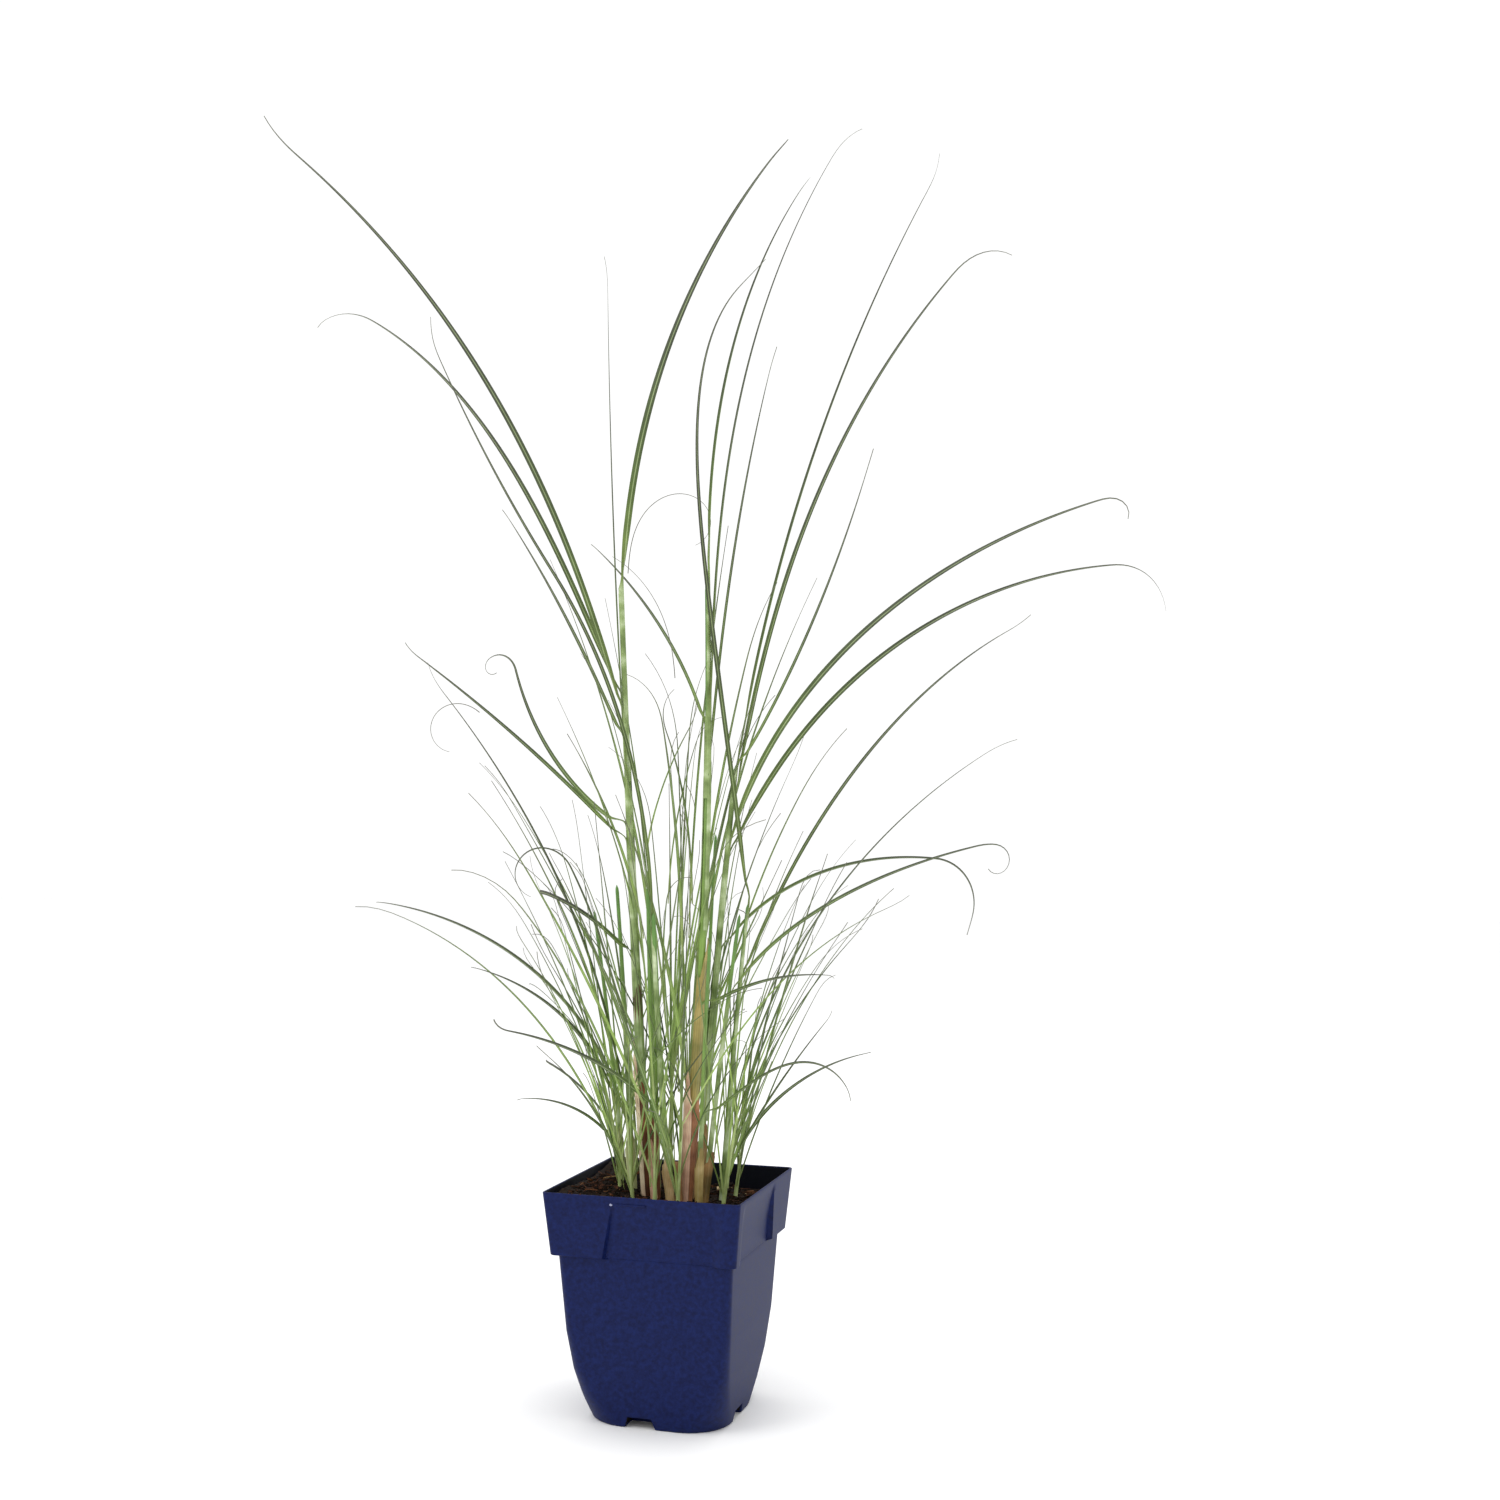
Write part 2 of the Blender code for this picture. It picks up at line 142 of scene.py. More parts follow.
# %% Mesh helper
def make_piece(name, points, face_sets, material, attributes, node=None, sharp_angle=50):
    """Write points and faces into a mesh object that rides on the plant's body.

    points has one row for each vertex. face_sets holds arrays of quads or triangles. attributes maps a
    name to one number for each vertex, which the material reads. Edges sharper than sharp_angle stay
    sharp, and the rest is shaded smooth.
    """
    mesh = bpy.data.meshes.new(name)
    corners = np.concatenate([faces.ravel() for faces in face_sets])
    sides = np.concatenate([np.full(len(faces), faces.shape[1]) for faces in face_sets])
    mesh.vertices.add(len(points))
    mesh.vertices.foreach_set("co", points.astype(np.float32).ravel())
    mesh.loops.add(len(corners))
    mesh.loops.foreach_set("vertex_index", corners.astype(np.int32))
    mesh.polygons.add(len(sides))
    mesh.polygons.foreach_set("loop_start", (np.cumsum(sides) - sides).astype(np.int32))
    mesh.update(calc_edges=True)
    for key, values in attributes.items():
        layer = mesh.attributes.new(key, "FLOAT", "POINT")
        layer.data.foreach_set("value", np.broadcast_to(values, len(points)).astype(np.float32))
    mesh.shade_smooth()
    mesh.set_sharp_from_angle(angle=np.radians(sharp_angle))
    mesh.materials.append(material)
    piece = bpy.data.objects.new(name, mesh)
    bpy.context.scene.collection.objects.link(piece)
    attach(piece, BODY)
    if node:
        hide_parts(node)
    return piece


# %% [markdown]
# ## The finish of the grass
#
# A living grass blade is smooth and waxy, so it has a soft shine, with fine veins along it and a pale
# midrib down its middle. It is fresh green where it is young and low, dull olive further up, and its
# tip dries to a grey thread. The dry lower sheaths are papery, in tan and brown. Veins are about 0.3 mm
# apart, which is too fine to show, so only nine are drawn across a blade.
#
# One material serves every blade. The mesh carries where each point lies along and across its blade,
# how old the blade is and how dry it is there, and the material turns those numbers into colour.

# %% Leaf material: waxy green blade with a dry tip
VEINS_ACROSS = 9.0
VEIN_HEIGHT = 0.05 * MM
BLOTCH_SIZE = 14 * MM
LEAF_ROUGHNESS = 0.42
LEAF_SHINE = 0.35
MIDRIB_COLOUR = "#B5C98E"
SHEATH_STOPS = ((0.3, "#5E7438"), (0.5, "#869A62"), (0.68, "#B0BC98"))
WITHERED_STOPS = ((0.0, "#2C2922"), (0.25, "#45423A"), (0.5, "#5A574E"), (0.75, "#77736A"), (1.0, "#9A968A"))
PAPER_STOPS = ((0.0, "#341C10"), (0.25, "#6B3E26"), (0.5, "#A06C4A"), (0.75, "#CDA48A"), (1.0, "#E2D6B6"))


def leaf_material(name, fresh_stops, aged_stops, dry_stops):
    """Grass tissue: colour runs along the blade, from fresh to aged to dry, with veins and a midrib."""
    material = new_material(name)
    add = partial(add_node, material)
    along, across, age, dry, sheath, tone = (
        add("ShaderNodeAttribute", attribute_name=key).outputs["Fac"]
        for key in ("along", "across", "age", "dry", "sheath", "tone")
    )
    place = add("ShaderNodeTexCoord").outputs["Object"]
    texture = {"Vector": place, "Scale": 1 / BLOTCH_SIZE, "Detail": 3.0}
    blotch = add("ShaderNodeTexNoise", texture).outputs["Fac"]
    fresh = add("ShaderNodeValToRGB", {"Fac": along}, fresh_stops).outputs["Color"]
    aged = add("ShaderNodeValToRGB", {"Fac": along}, aged_stops).outputs["Color"]
    living = add("ShaderNodeMix", {0: age, 6: fresh, 7: aged}, data_type="RGBA").outputs[2]
    reach = add("ShaderNodeMath", {0: across}, operation="ABSOLUTE").outputs[0]
    rib = add("ShaderNodeMapRange", {0: reach, 1: 0.22, 2: 0.06, 3: 0.0, 4: 0.45}).outputs[0]
    midrib = {0: rib, 6: living, 7: linear(MIDRIB_COLOUR)}
    ribbed = add("ShaderNodeMix", midrib, data_type="RGBA").outputs[2]
    sleeve = add("ShaderNodeValToRGB", {"Fac": blotch}, SHEATH_STOPS).outputs["Color"]
    clothed = add("ShaderNodeMix", {0: sheath, 6: ribbed, 7: sleeve}, data_type="RGBA").outputs[2]
    uneven = add("ShaderNodeMapRange", {"Value": blotch, "To Min": -0.35, "To Max": 0.35}).outputs[0]
    paper = add("ShaderNodeMath", {0: tone, 1: uneven}, operation="ADD").outputs[0]
    withered = add("ShaderNodeValToRGB", {"Fac": paper}, dry_stops).outputs["Color"]
    tinted = add("ShaderNodeMix", {0: dry, 6: clothed, 7: withered}, data_type="RGBA").outputs[2]
    phase = add("ShaderNodeMath", {0: across, 1: VEINS_ACROSS * np.pi}, operation="MULTIPLY").outputs[0]
    wave = add("ShaderNodeMath", {0: phase}, operation="COSINE").outputs[0]
    shade = add("ShaderNodeMapRange", {0: wave, 1: -1.0, 2: 1.0, 3: 0.86, 4: 1.06}).outputs[0]
    patch = add("ShaderNodeMapRange", {0: blotch, 1: 0.3, 2: 0.7, 3: 0.95, 4: 1.4}).outputs[0]
    value = add("ShaderNodeMath", {0: shade, 1: patch}, operation="MULTIPLY").outputs[0]
    colour = add("ShaderNodeHueSaturation", {"Value": value, "Color": tinted}).outputs["Color"]
    relief = {"Height": wave, "Distance": VEIN_HEIGHT, "Strength": 0.4}
    bump = add("ShaderNodeBump", relief).outputs["Normal"]
    finish = {"Roughness": LEAF_ROUGHNESS, "Specular IOR Level": LEAF_SHINE}
    return finish_material(
        material, add("ShaderNodeBsdfPrincipled", {"Base Color": colour, "Normal": bump, **finish})
    )


blade_green = leaf_material(
    "waxy_grass_blade",
    ((0.0, "#7C9446"), (0.2, "#5A7232"), (0.5, "#435033"), (0.85, "#40433A"), (1.0, "#585852")),
    ((0.0, "#63753A"), (0.2, "#46562A"), (0.5, "#3E4431"), (0.85, "#43443C"), (1.0, "#5C5B54")),
    WITHERED_STOPS,
)
young_green = leaf_material(
    "young_grass_blade",
    ((0.0, "#B6C680"), (0.25, "#94B058"), (0.6, "#748C4A"), (0.9, "#595F42"), (1.0, "#66665A")),
    ((0.0, "#6E7A40"), (0.25, "#48602A"), (0.6, "#3C482A"), (0.9, "#484A3C"), (1.0, "#5E5E56")),
    WITHERED_STOPS,
)
stem_green = leaf_material(
    "green_culm_and_sheath",
    ((0.0, "#A6B66C"), (0.15, "#8CAC52"), (0.6, "#7A9A4C"), (1.0, "#608A44")),
    ((0.0, "#76783A"), (0.15, "#6A8038"), (0.6, "#5A723A"), (1.0, "#486A36")),
    PAPER_STOPS,
)

# %% [markdown]
# ## Paths that grow
#
# A stem or blade is a path that starts upright and leans over more and more, towards one compass
# heading. Writing the lean as a smooth function of the share of the length gives every arch in the
# plant with four or five numbers. The path is the running sum of small steps along the changing
# direction, which numpy does for all rows, and for a whole tuft of blades, at once.


# %% Growth paths and their frames
def direction(heading, lean):
    """Unit vectors (sin lean cos heading, sin lean sin heading, cos lean), angles in degrees."""
    turn, tilt = np.broadcast_arrays(np.radians(heading), np.radians(lean))
    return np.stack([np.sin(tilt) * np.cos(turn), np.sin(tilt) * np.sin(turn), np.cos(tilt)], axis=-1)


def walk(start, heading, lean, length):
    """Path from start whose steps are length / rows times the mean direction of neighbouring rows."""
    way = direction(heading, lean)
    middle = 0.5 * (way[..., 1:, :] + way[..., :-1, :])
    step = np.asarray(length)[..., None, None] / middle.shape[-2]
    steps = np.concatenate([np.zeros_like(way[..., :1, :]), middle * step], axis=-2)
    return np.asarray(start)[..., None, :] + np.cumsum(steps, axis=-2)


def side_and_face(path, heading, roll):
    """Across and up vectors of a blade: level and square to its heading, then rolled about its path."""
    tangent = np.gradient(path, axis=-2)
    tangent /= np.linalg.norm(tangent, axis=-1, keepdims=True)
    turn = np.broadcast_to(np.radians(heading), path.shape[:-1])
    level = np.stack([-np.sin(turn), np.cos(turn), np.zeros_like(turn)], axis=-1)
    across = level - tangent * np.sum(level * tangent, axis=-1, keepdims=True)
    across /= np.linalg.norm(across, axis=-1, keepdims=True)
    face = np.cross(tangent, across)
    turned = np.broadcast_to(np.radians(roll), path.shape[:-1])[..., None]
    return across * np.cos(turned) + face * np.sin(turned), face * np.cos(turned) - across * np.sin(turned)


def smooth_step(value):
    """0 below 0, 1 above 1, and 3v^2 - 2v^3 between."""
    share = np.clip(value, 0.0, 1.0)
    return share * share * (3.0 - 2.0 * share)


def mix(low, high, share):
    """Straight mix of two values."""
    return low + (high - low) * share


# %% Faces of a closed strip
def strip_faces(rings, rows, ring_size, first=0):
    """Quads round each of several tubes, and caps that zip the two layers of its end rings together.

    A ring holds ring_size points: across one layer from edge to edge, then back along the other.
    """
    tube = np.arange(rings)[:, None, None] * rows * ring_size + first
    row = np.arange(rows - 1)[None, :, None] * ring_size
    column = np.arange(ring_size)[None, None, :]
    here = tube + row + column
    after = tube + row + (column + 1) % ring_size
    quads = np.stack([here, here + ring_size, after + ring_size, after], axis=-1).reshape(-1, 4)
    half = ring_size // 2
    near = np.arange(1, half - 1)
    cap = np.stack([near, near + 1, ring_size - near - 1, ring_size - near], axis=-1)
    ends = np.array([[0, 1, ring_size - 1], [half - 1, half, half + 1]])
    starts = (np.arange(rings) * rows * ring_size + first)[:, None, None]
    last = starts + (rows - 1) * ring_size
    quads = np.concatenate([quads, (starts + cap).reshape(-1, 4), (last + cap[:, ::-1]).reshape(-1, 4)])
    triangles = np.concatenate([(starts + ends).reshape(-1, 3), (last + ends[:, ::-1]).reshape(-1, 3)])
    return [quads, triangles]


def ring_shares(columns):
    """Share across the blade, -1 to 1 and back, and the layer, 0 above and 1 below, of each ring point."""
    there = np.linspace(-1.0, 1.0, columns + 1)
    shares = np.concatenate([there, there[-2:0:-1]])
    layers = np.concatenate([np.zeros(columns + 1), np.ones(columns - 1)])
    return shares, layers


# %% [markdown]
# ## The pot
#
# The pot is thin polypropylene, injection moulded in one piece. Its foot is nearly round and its rim is
# square, and a collar with ears at two corners stands proud of the body. It could be a box with bevels,
# but the changing corners would fight the bevel. A loft fits better: one outline function, evaluated at
# every height up the outside, over the rounded rim and down the inside, gives one closed wall.

# %% Pot sizes
_, pot_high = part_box("pot")
POT_HEIGHT = pot_high[2]
RIM_HALF = pot_high[0]
POT_WALL = 1.2 * MM
COLLAR_BOTTOM = 95.5 * MM
COLLAR_BOTTOM_HALF = 53.7 * MM
COLLAR_CORNER = 2.5 * MM
COLLAR_EDGE = 0.4 * MM
PANEL_HALF = 50.8 * MM
PANEL_FLARE_START = 97 * MM
PANEL_FLARE_END = 129 * MM
EAR_AT_RIM = 42 * MM
EAR_AT_BOTTOM = 31 * MM
EAR_STEP = 1.0 * MM
SMALL_EAR = 8 * MM
SMALL_EAR_BLEND = 7 * MM
INNER_EAR_SHIFT = 0.8 * MM
FOOT_EDGE = 0.7 * MM
CORNER_STEPS = 10
SIDE_COUNTS = (8, 2, 14, 8, 3)
BODY_HEIGHTS = MM * np.array([0, 4, 14, 30, 52, 94.9])
BODY_HALVES = MM * np.array([40.5, 41.4, 43.0, 45.4, 47.8, 50.5])
BODY_CORNERS = MM * np.array([25, 23, 16, 9.5, 6, 4])
SOIL_TOP = 118.5 * MM
print("pot:", round(POT_HEIGHT / MM, 1), "mm tall, rim", round(2 * RIM_HALF / MM, 1), "mm")


# %% Pot outline at any height
def collar_half(height):
    """Half width of the collar: a straight draft from its lower edge to the rim."""
    share = (height - COLLAR_BOTTOM) / (POT_HEIGHT - COLLAR_BOTTOM)
    return mix(COLLAR_BOTTOM_HALF, RIM_HALF, np.clip(share, 0, 1))


def panel_half(height):
    """Half width of the panels between the ears, which flare out to meet the collar at the rim."""
    share = np.clip((height - PANEL_FLARE_START) / (PANEL_FLARE_END - PANEL_FLARE_START), 0, 1)
    return mix(PANEL_HALF, collar_half(height), share)


def spaced(start, end, count):
    """Rows of evenly spaced values from start up to, but without, end."""
    return start[:, None] + (end - start)[:, None] * np.linspace(0, 1, count, endpoint=False)


def quarter_turns(x, y, count):
    """Places turned about the upright axis by a count of right angles."""
    turn = np.radians(90 * count)
    return x * np.cos(turn) - y * np.sin(turn), x * np.sin(turn) + y * np.cos(turn)


def outline(height, ear, panel, corner, shift):
    """Closed outlines, one for each height: four sides, each with its ears and panel, and four arcs.

    Along a side the wall is at ear up to the large ear's end, at panel after its step, and returns to
    ear by half a cosine at the small ear. SIDE_COUNTS holds the points in these five stretches. Every
    second side is the mirror image of its neighbours.
    """
    share = np.clip((height - COLLAR_BOTTOM) / (POT_HEIGHT - COLLAR_BOTTOM), 0, 1)
    half = collar_half(height)
    straight = ear - corner
    scale = straight / (half - COLLAR_CORNER)
    ear_end = (mix(EAR_AT_BOTTOM, EAR_AT_RIM, share) - half - shift) * scale
    small_ear = (half - SMALL_EAR + shift) * scale
    blend_from = small_ear - SMALL_EAR_BLEND * scale
    marks = [-straight, ear_end, ear_end + EAR_STEP, blend_from, small_ear, straight]
    along = np.concatenate([spaced(a, b, n) for a, b, n in zip(marks, marks[1:], SIDE_COUNTS)], axis=1)
    on_ear, _, on_panel, on_blend, on_small_ear = SIDE_COUNTS
    rise = 0.5 - 0.5 * np.cos(np.pi * np.arange(on_blend) / on_blend)
    shares = np.concatenate([np.ones(on_ear), (1.0, 0.5), np.zeros(on_panel), rise, np.ones(on_small_ear)])
    out = mix(panel[:, None], ear[:, None], shares)
    angle = np.radians(np.linspace(-90, 0, CORNER_STEPS, endpoint=False))
    arc_along = straight[:, None] + corner[:, None] * np.cos(angle)
    arc_out = straight[:, None] - corner[:, None] * np.sin(angle)
    loops = []
    for side in range(4):
        last = np.stack([straight, ear], axis=-1)[:, None, :]
        line = np.stack([along, out], axis=-1)
        if side % 2:
            line = np.concatenate([line[:, 1:], last], axis=1)[:, ::-1] * (-1, 1)
            line = np.concatenate([last * (-1, 1), line[:, 1:]], axis=1)
        flat = np.concatenate([line, np.stack([arc_along, arc_out], axis=-1)], axis=1)
        loops.append(np.stack(quarter_turns(flat[..., 0], -flat[..., 1], side), axis=-1))
    ring = np.concatenate(loops, axis=1)
    return np.concatenate([ring, np.broadcast_to(height[:, None, None], (*ring.shape[:2], 1))], axis=-1)


def body_rings(height, inset):
    """Outlines of the body, moved in by an inset; heights between the moulded sections are mixed."""
    half = np.interp(height, BODY_HEIGHTS, BODY_HALVES) - inset
    corner = np.maximum(np.interp(height, BODY_HEIGHTS, BODY_CORNERS) - inset, COLLAR_CORNER)
    return outline(height, half, half, corner, 0.0)


def collar_rings(height, inset, shift):
    """Outlines of the collar, moved in by an inset."""
    corner = np.full(len(height), COLLAR_CORNER)
    return outline(height, collar_half(height) - inset, panel_half(height) - inset, corner, shift)


# %% Faces of a loft that is closed by a point at each end
def loft_faces(rows, columns):
    """Quads between neighbouring rings, and a fan from the first and the last ring to two end points."""
    row = np.arange(rows - 1)[:, None] * columns
    column = np.arange(columns)[None, :]
    after = (column + 1) % columns
    quads = np.stack([row + column, row + after, row + columns + after, row + columns + column], axis=-1)
    first = rows * columns
    ring = np.arange(columns)
    turned = (ring + 1) % columns
    top = (rows - 1) * columns
    low_fan = np.stack([np.full(columns, first), turned, ring], axis=-1)
    high_fan = np.stack([np.full(columns, first + 1), top + ring, top + turned], axis=-1)
    return [quads.reshape(-1, 4), np.concatenate([low_fan, high_fan])]


def close_loft(rings, low, high):
    """Points of a loft with the heights of its two end points, which lie on the axis."""
    ends = np.array([[0, 0, low], [0, 0, high]])
    return np.concatenate([rings.reshape(-1, 3), ends])


# %% Pot wall
neck = BODY_HEIGHTS[-1]
body_rows = np.concatenate([[FOOT_EDGE], np.linspace(2 * MM, neck, 44)])
collar_rows = np.linspace(COLLAR_BOTTOM + COLLAR_EDGE, POT_HEIGHT - POT_WALL / 2, 26)
rim_angle = np.linspace(0, np.pi, 9)[1:-1]
rim_rows = POT_HEIGHT - POT_WALL / 2 * (1 - np.sin(rim_angle))
rim_inset = POT_WALL / 2 * (1 - np.cos(rim_angle))
inner_rows = np.linspace(POT_HEIGHT - POT_WALL / 2, COLLAR_BOTTOM + POT_WALL, 22)
inner_body = np.linspace(neck + POT_WALL, POT_WALL, 34)
pot_rings = np.concatenate([
    body_rings(np.array([0.0]), FOOT_EDGE),
    body_rings(body_rows, 0.0),
    collar_rings(np.array([COLLAR_BOTTOM]), COLLAR_EDGE, 0.0),
    collar_rings(collar_rows, 0.0, 0.0),
    collar_rings(rim_rows, rim_inset, INNER_EAR_SHIFT * rim_inset / POT_WALL),
    collar_rings(inner_rows, POT_WALL, INNER_EAR_SHIFT),
    body_rings(inner_body, POT_WALL),
])
print("pot wall:", pot_rings.shape[0], "rings of", pot_rings.shape[1], "points")

# %% [markdown]
# ### Moulded polypropylene
#
# Nursery pots are polypropylene with pigment, moulded against a finely spark-eroded tool. That gives the
# eye an even navy with a faint mottle where the pigment is not quite mixed, a fine grain that breaks up
# the shine, and a pale grey gloss only where the wall is seen at a low angle. The grain is about 0.2 mm,
# too fine to show, so it is drawn at 0.8 mm. The inside wall is painted nearly black, as painted shade.

# %% Polypropylene material
GRAIN = 0.8 * MM
GRAIN_HEIGHT = 0.06 * MM
MOTTLE = 2.6 * MM
PLASTIC_SHINE = 0.14
# Nearly black colour of the inside wall: painted shade, not a colour of the plastic.
PAINTED_INSIDE_SHADE = "#0A0B18"


def moulded_plastic(name, dark, light):
    """Polypropylene: two tones mixed by a fine mottle, painted shade inside, grain in the bump."""
    material = new_material(name)
    add = partial(add_node, material)
    place = add("ShaderNodeTexCoord").outputs["Object"]
    pigment = {"Vector": place, "Scale": 1 / MOTTLE, "Detail": 4.0, "Roughness": 0.65}
    mottle = add("ShaderNodeTexNoise", pigment).outputs["Fac"]
    spark_marks = {"Vector": place, "Scale": 1 / GRAIN, "Detail": 2.0}
    grain = add("ShaderNodeTexNoise", spark_marks).outputs["Fac"]
    unshaded_plastic = add("ShaderNodeValToRGB", {"Fac": mottle}, ((0.34, dark), (0.66, light))).outputs["Color"]
    # Painted shade: the inside wall's colour is mixed towards near black.
    painted_shade = add("ShaderNodeAttribute", attribute_name="painted_shade").outputs["Fac"]
    wall = {0: painted_shade, 6: unshaded_plastic, 7: linear(PAINTED_INSIDE_SHADE)}
    colour = add("ShaderNodeMix", wall, data_type="RGBA").outputs[2]
    rough = add("ShaderNodeMapRange", {"Value": mottle, "To Min": 0.44, "To Max": 0.56}).outputs[0]
    relief = {"Height": grain, "Distance": GRAIN_HEIGHT, "Strength": 0.5}
    bump = add("ShaderNodeBump", relief).outputs["Normal"]
    finish = {"Roughness": rough, "Specular IOR Level": PLASTIC_SHINE}
    return finish_material(
        material, add("ShaderNodeBsdfPrincipled", {"Base Color": colour, "Normal": bump, **finish})
    )


navy_plastic = moulded_plastic("navy_moulded_polypropylene", "#050F3A", "#0D1C50")
# A small pale spot of colour beside the label lip.
pip_plastic = moulded_plastic("pale_pip_finish", "#7F83A0", "#A3A6BC")

# %% Pot, with its drain notches cut through the foot
NOTCH_CENTRE = -5.2 * MM
NOTCH_HEIGHT = 6.3 * MM
NOTCH_WIDTHS = (21.5 * MM, 14 * MM)
NOTCH_DEPTH = 13 * MM
CUT_OVERSHOOT = 5 * MM
BOX_FACES = ((0, 1, 3, 2), (4, 6, 7, 5), (0, 4, 5, 1), (2, 3, 7, 6), (0, 2, 6, 4), (1, 5, 7, 3))


def notch_cutter(side):
    """A tapered block that reaches in through one face of the foot, narrower at its top."""
    low, high = (width / 2 for width in NOTCH_WIDTHS)
    outer = -BODY_HALVES[0] - CUT_OVERSHOOT
    inner = NOTCH_DEPTH - BODY_HALVES[0]
    corners = [
        (NOTCH_CENTRE + sign * (high if top else low), y, NOTCH_HEIGHT if top else -CUT_OVERSHOOT)
        for sign in (-1, 1) for y in (outer, inner) for top in (0, 1)
    ]
    points = np.array(corners)
    points[:, 0], points[:, 1] = quarter_turns(points[:, 0], points[:, 1], side)
    mesh = bpy.data.meshes.new(f"notch_cutter_{side}")
    mesh.from_pydata(points.tolist(), [], BOX_FACES)
    cutter = bpy.data.objects.new(mesh.name, mesh)
    bpy.context.scene.collection.objects.link(cutter)
    return cutter


def cut_away(piece, cutters):
    """Apply an exact Boolean difference for each cutter, then remove the cutters."""
    for cutter in cutters:
        modifier = piece.modifiers.new(cutter.name, "BOOLEAN")
        modifier.operation = "DIFFERENCE"
        modifier.solver = "EXACT"
        modifier.object = cutter
    cut = bpy.data.meshes.new_from_object(piece.evaluated_get(bpy.context.evaluated_depsgraph_get()))
    piece.modifiers.clear()
    piece.data = cut
    for cutter in cutters:
        bpy.data.objects.remove(cutter, do_unlink=True)


# Only the rings down the inside get the painted shade, and so does the end point on the inner floor.
painted_shade_share = np.zeros(len(pot_rings))
painted_shade_share[-len(inner_rows) - len(inner_body) :] = 1.0
pot = make_piece(
    "nursery_pot",
    close_loft(pot_rings, 0.0, POT_WALL),
    loft_faces(*pot_rings.shape[:2]),
    navy_plastic,
    {"painted_shade": np.append(np.repeat(painted_shade_share, pot_rings.shape[1]), [0.0, 1.0])},
    node="pot",
    sharp_angle=35,
)
cut_away(pot, [notch_cutter(side) for side in range(4)])
print("pot after the cuts:", len(pot.data.polygons), "faces")

# %% [markdown]
# ### Two small marks on the collar
#
# High on the front of the collar there is a short raised lip, where a plant label is pushed in, and beside
# it a small pale pip. Both are a few millimetres at most.

# %% Label lip and pale pip
LIP_FROM = -14 * MM
LIP_TO = 4 * MM
LIP_RADIUS = 0.75 * MM
LIP_HEIGHT = 126.5 * MM
MARK_PLACE = -16.5 * MM
MARK_RADIUS = 1.2 * MM
MARK_SINKS = 0.5 * MM
LIP_ROWS = 20
MARK_ROWS = 12
BEAD_SIDES = 12


def bead(start, end, radius, rows):
    """A rounded bead from start to end: a circle whose radius follows sqrt(1 - t^2) at the two ends."""
    t = np.sin(np.linspace(-np.pi / 2, np.pi / 2, rows))
    length = np.linalg.norm(end - start)
    reach = 0.5 * length * t
    from_end = np.clip((0.5 * length - np.abs(reach)) / radius, 0, 1)
    size = radius * np.sqrt(np.clip(1 - (1 - from_end) ** 2, 0.0004, 1))
    angle = np.linspace(0, 2 * np.pi, BEAD_SIDES, endpoint=False)
    middle = 0.5 * (start + end) + (end - start) / length * reach[:, None]
    circle = np.stack([np.zeros(BEAD_SIDES), np.cos(angle), np.sin(angle)], axis=-1)
    return middle[:, None, :] + size[:, None, None] * circle


lip_face = -panel_half(LIP_HEIGHT)
lip_start = np.array([LIP_FROM, lip_face, LIP_HEIGHT])
lip_end = np.array([LIP_TO, lip_face, LIP_HEIGHT])
mark_middle = np.array([MARK_PLACE, lip_face + MARK_SINKS, LIP_HEIGHT])
mark_reach = np.array([MARK_RADIUS, 0, 0])
lip = bead(lip_start, lip_end, LIP_RADIUS, LIP_ROWS)
mark = bead(mark_middle - mark_reach, mark_middle + mark_reach, MARK_RADIUS, MARK_ROWS)
for name, shape, plastic in (("label_lip", lip, navy_plastic), ("small_pale_pip", mark, pip_plastic)):
    faces = strip_faces(1, len(shape), BEAD_SIDES)
    make_piece(name, shape.reshape(-1, 3), faces, plastic, {})
print("label lip:", round((LIP_TO - LIP_FROM) / MM, 1), "mm long")

# %% [markdown]
# ## The soil
#
# Potting soil here is dark peat with bark chips, red-brown fibres and bits of straw. The body of it is a
# loft like the pot's, whose top is a height for every place: the plug's own tilt and lumps, a bank that
# rises to the left wall, and smooth random noise at three sizes. The loose bits are 2600 small chips,
# joined into one mesh with a few crumbs on the rim.

# %% Soil surface
SOIL_TILT = 3.0 * MM
SOIL_ROUGHNESS = 1.0 * MM
SOIL_LUMP_X = 7 * MM
SOIL_LUMP_Y = 9 * MM
CLUMP_FLAT = 54 * MM
CLUMP_EDGE = 20 * MM
SOIL_BANK = 9 * MM
BANK_FROM = 16 * MM
BANK_EDGE = 24 * MM
SOIL_GAP = 0.25 * MM
SOIL_NOISE = ((1.1, 12, 3), (0.8, 4, 4), (0.45, 1.6, 5))
SOIL_SIDE_RINGS = 20
SOIL_TOP_RINGS = 70
LATTICE = 64


def value_noise(x, y, cell, seed):
    """Smooth noise from -1 to 1: random numbers on a lattice, blended between by 3v^2 - 2v^3."""
    lattice = np.random.default_rng(seed).uniform(-1, 1, (LATTICE, LATTICE))
    u, v = x / cell + LATTICE / 2, y / cell + LATTICE / 2
    i, j = np.floor(u).astype(int), np.floor(v).astype(int)
    s, t = smooth_step(u - i), smooth_step(v - j)
    i, j, after_i, after_j = i % LATTICE, j % LATTICE, (i + 1) % LATTICE, (j + 1) % LATTICE
    near = mix(lattice[i, j], lattice[after_i, j], s)
    far = mix(lattice[i, after_j], lattice[after_i, after_j], s)
    return mix(near, far, t)


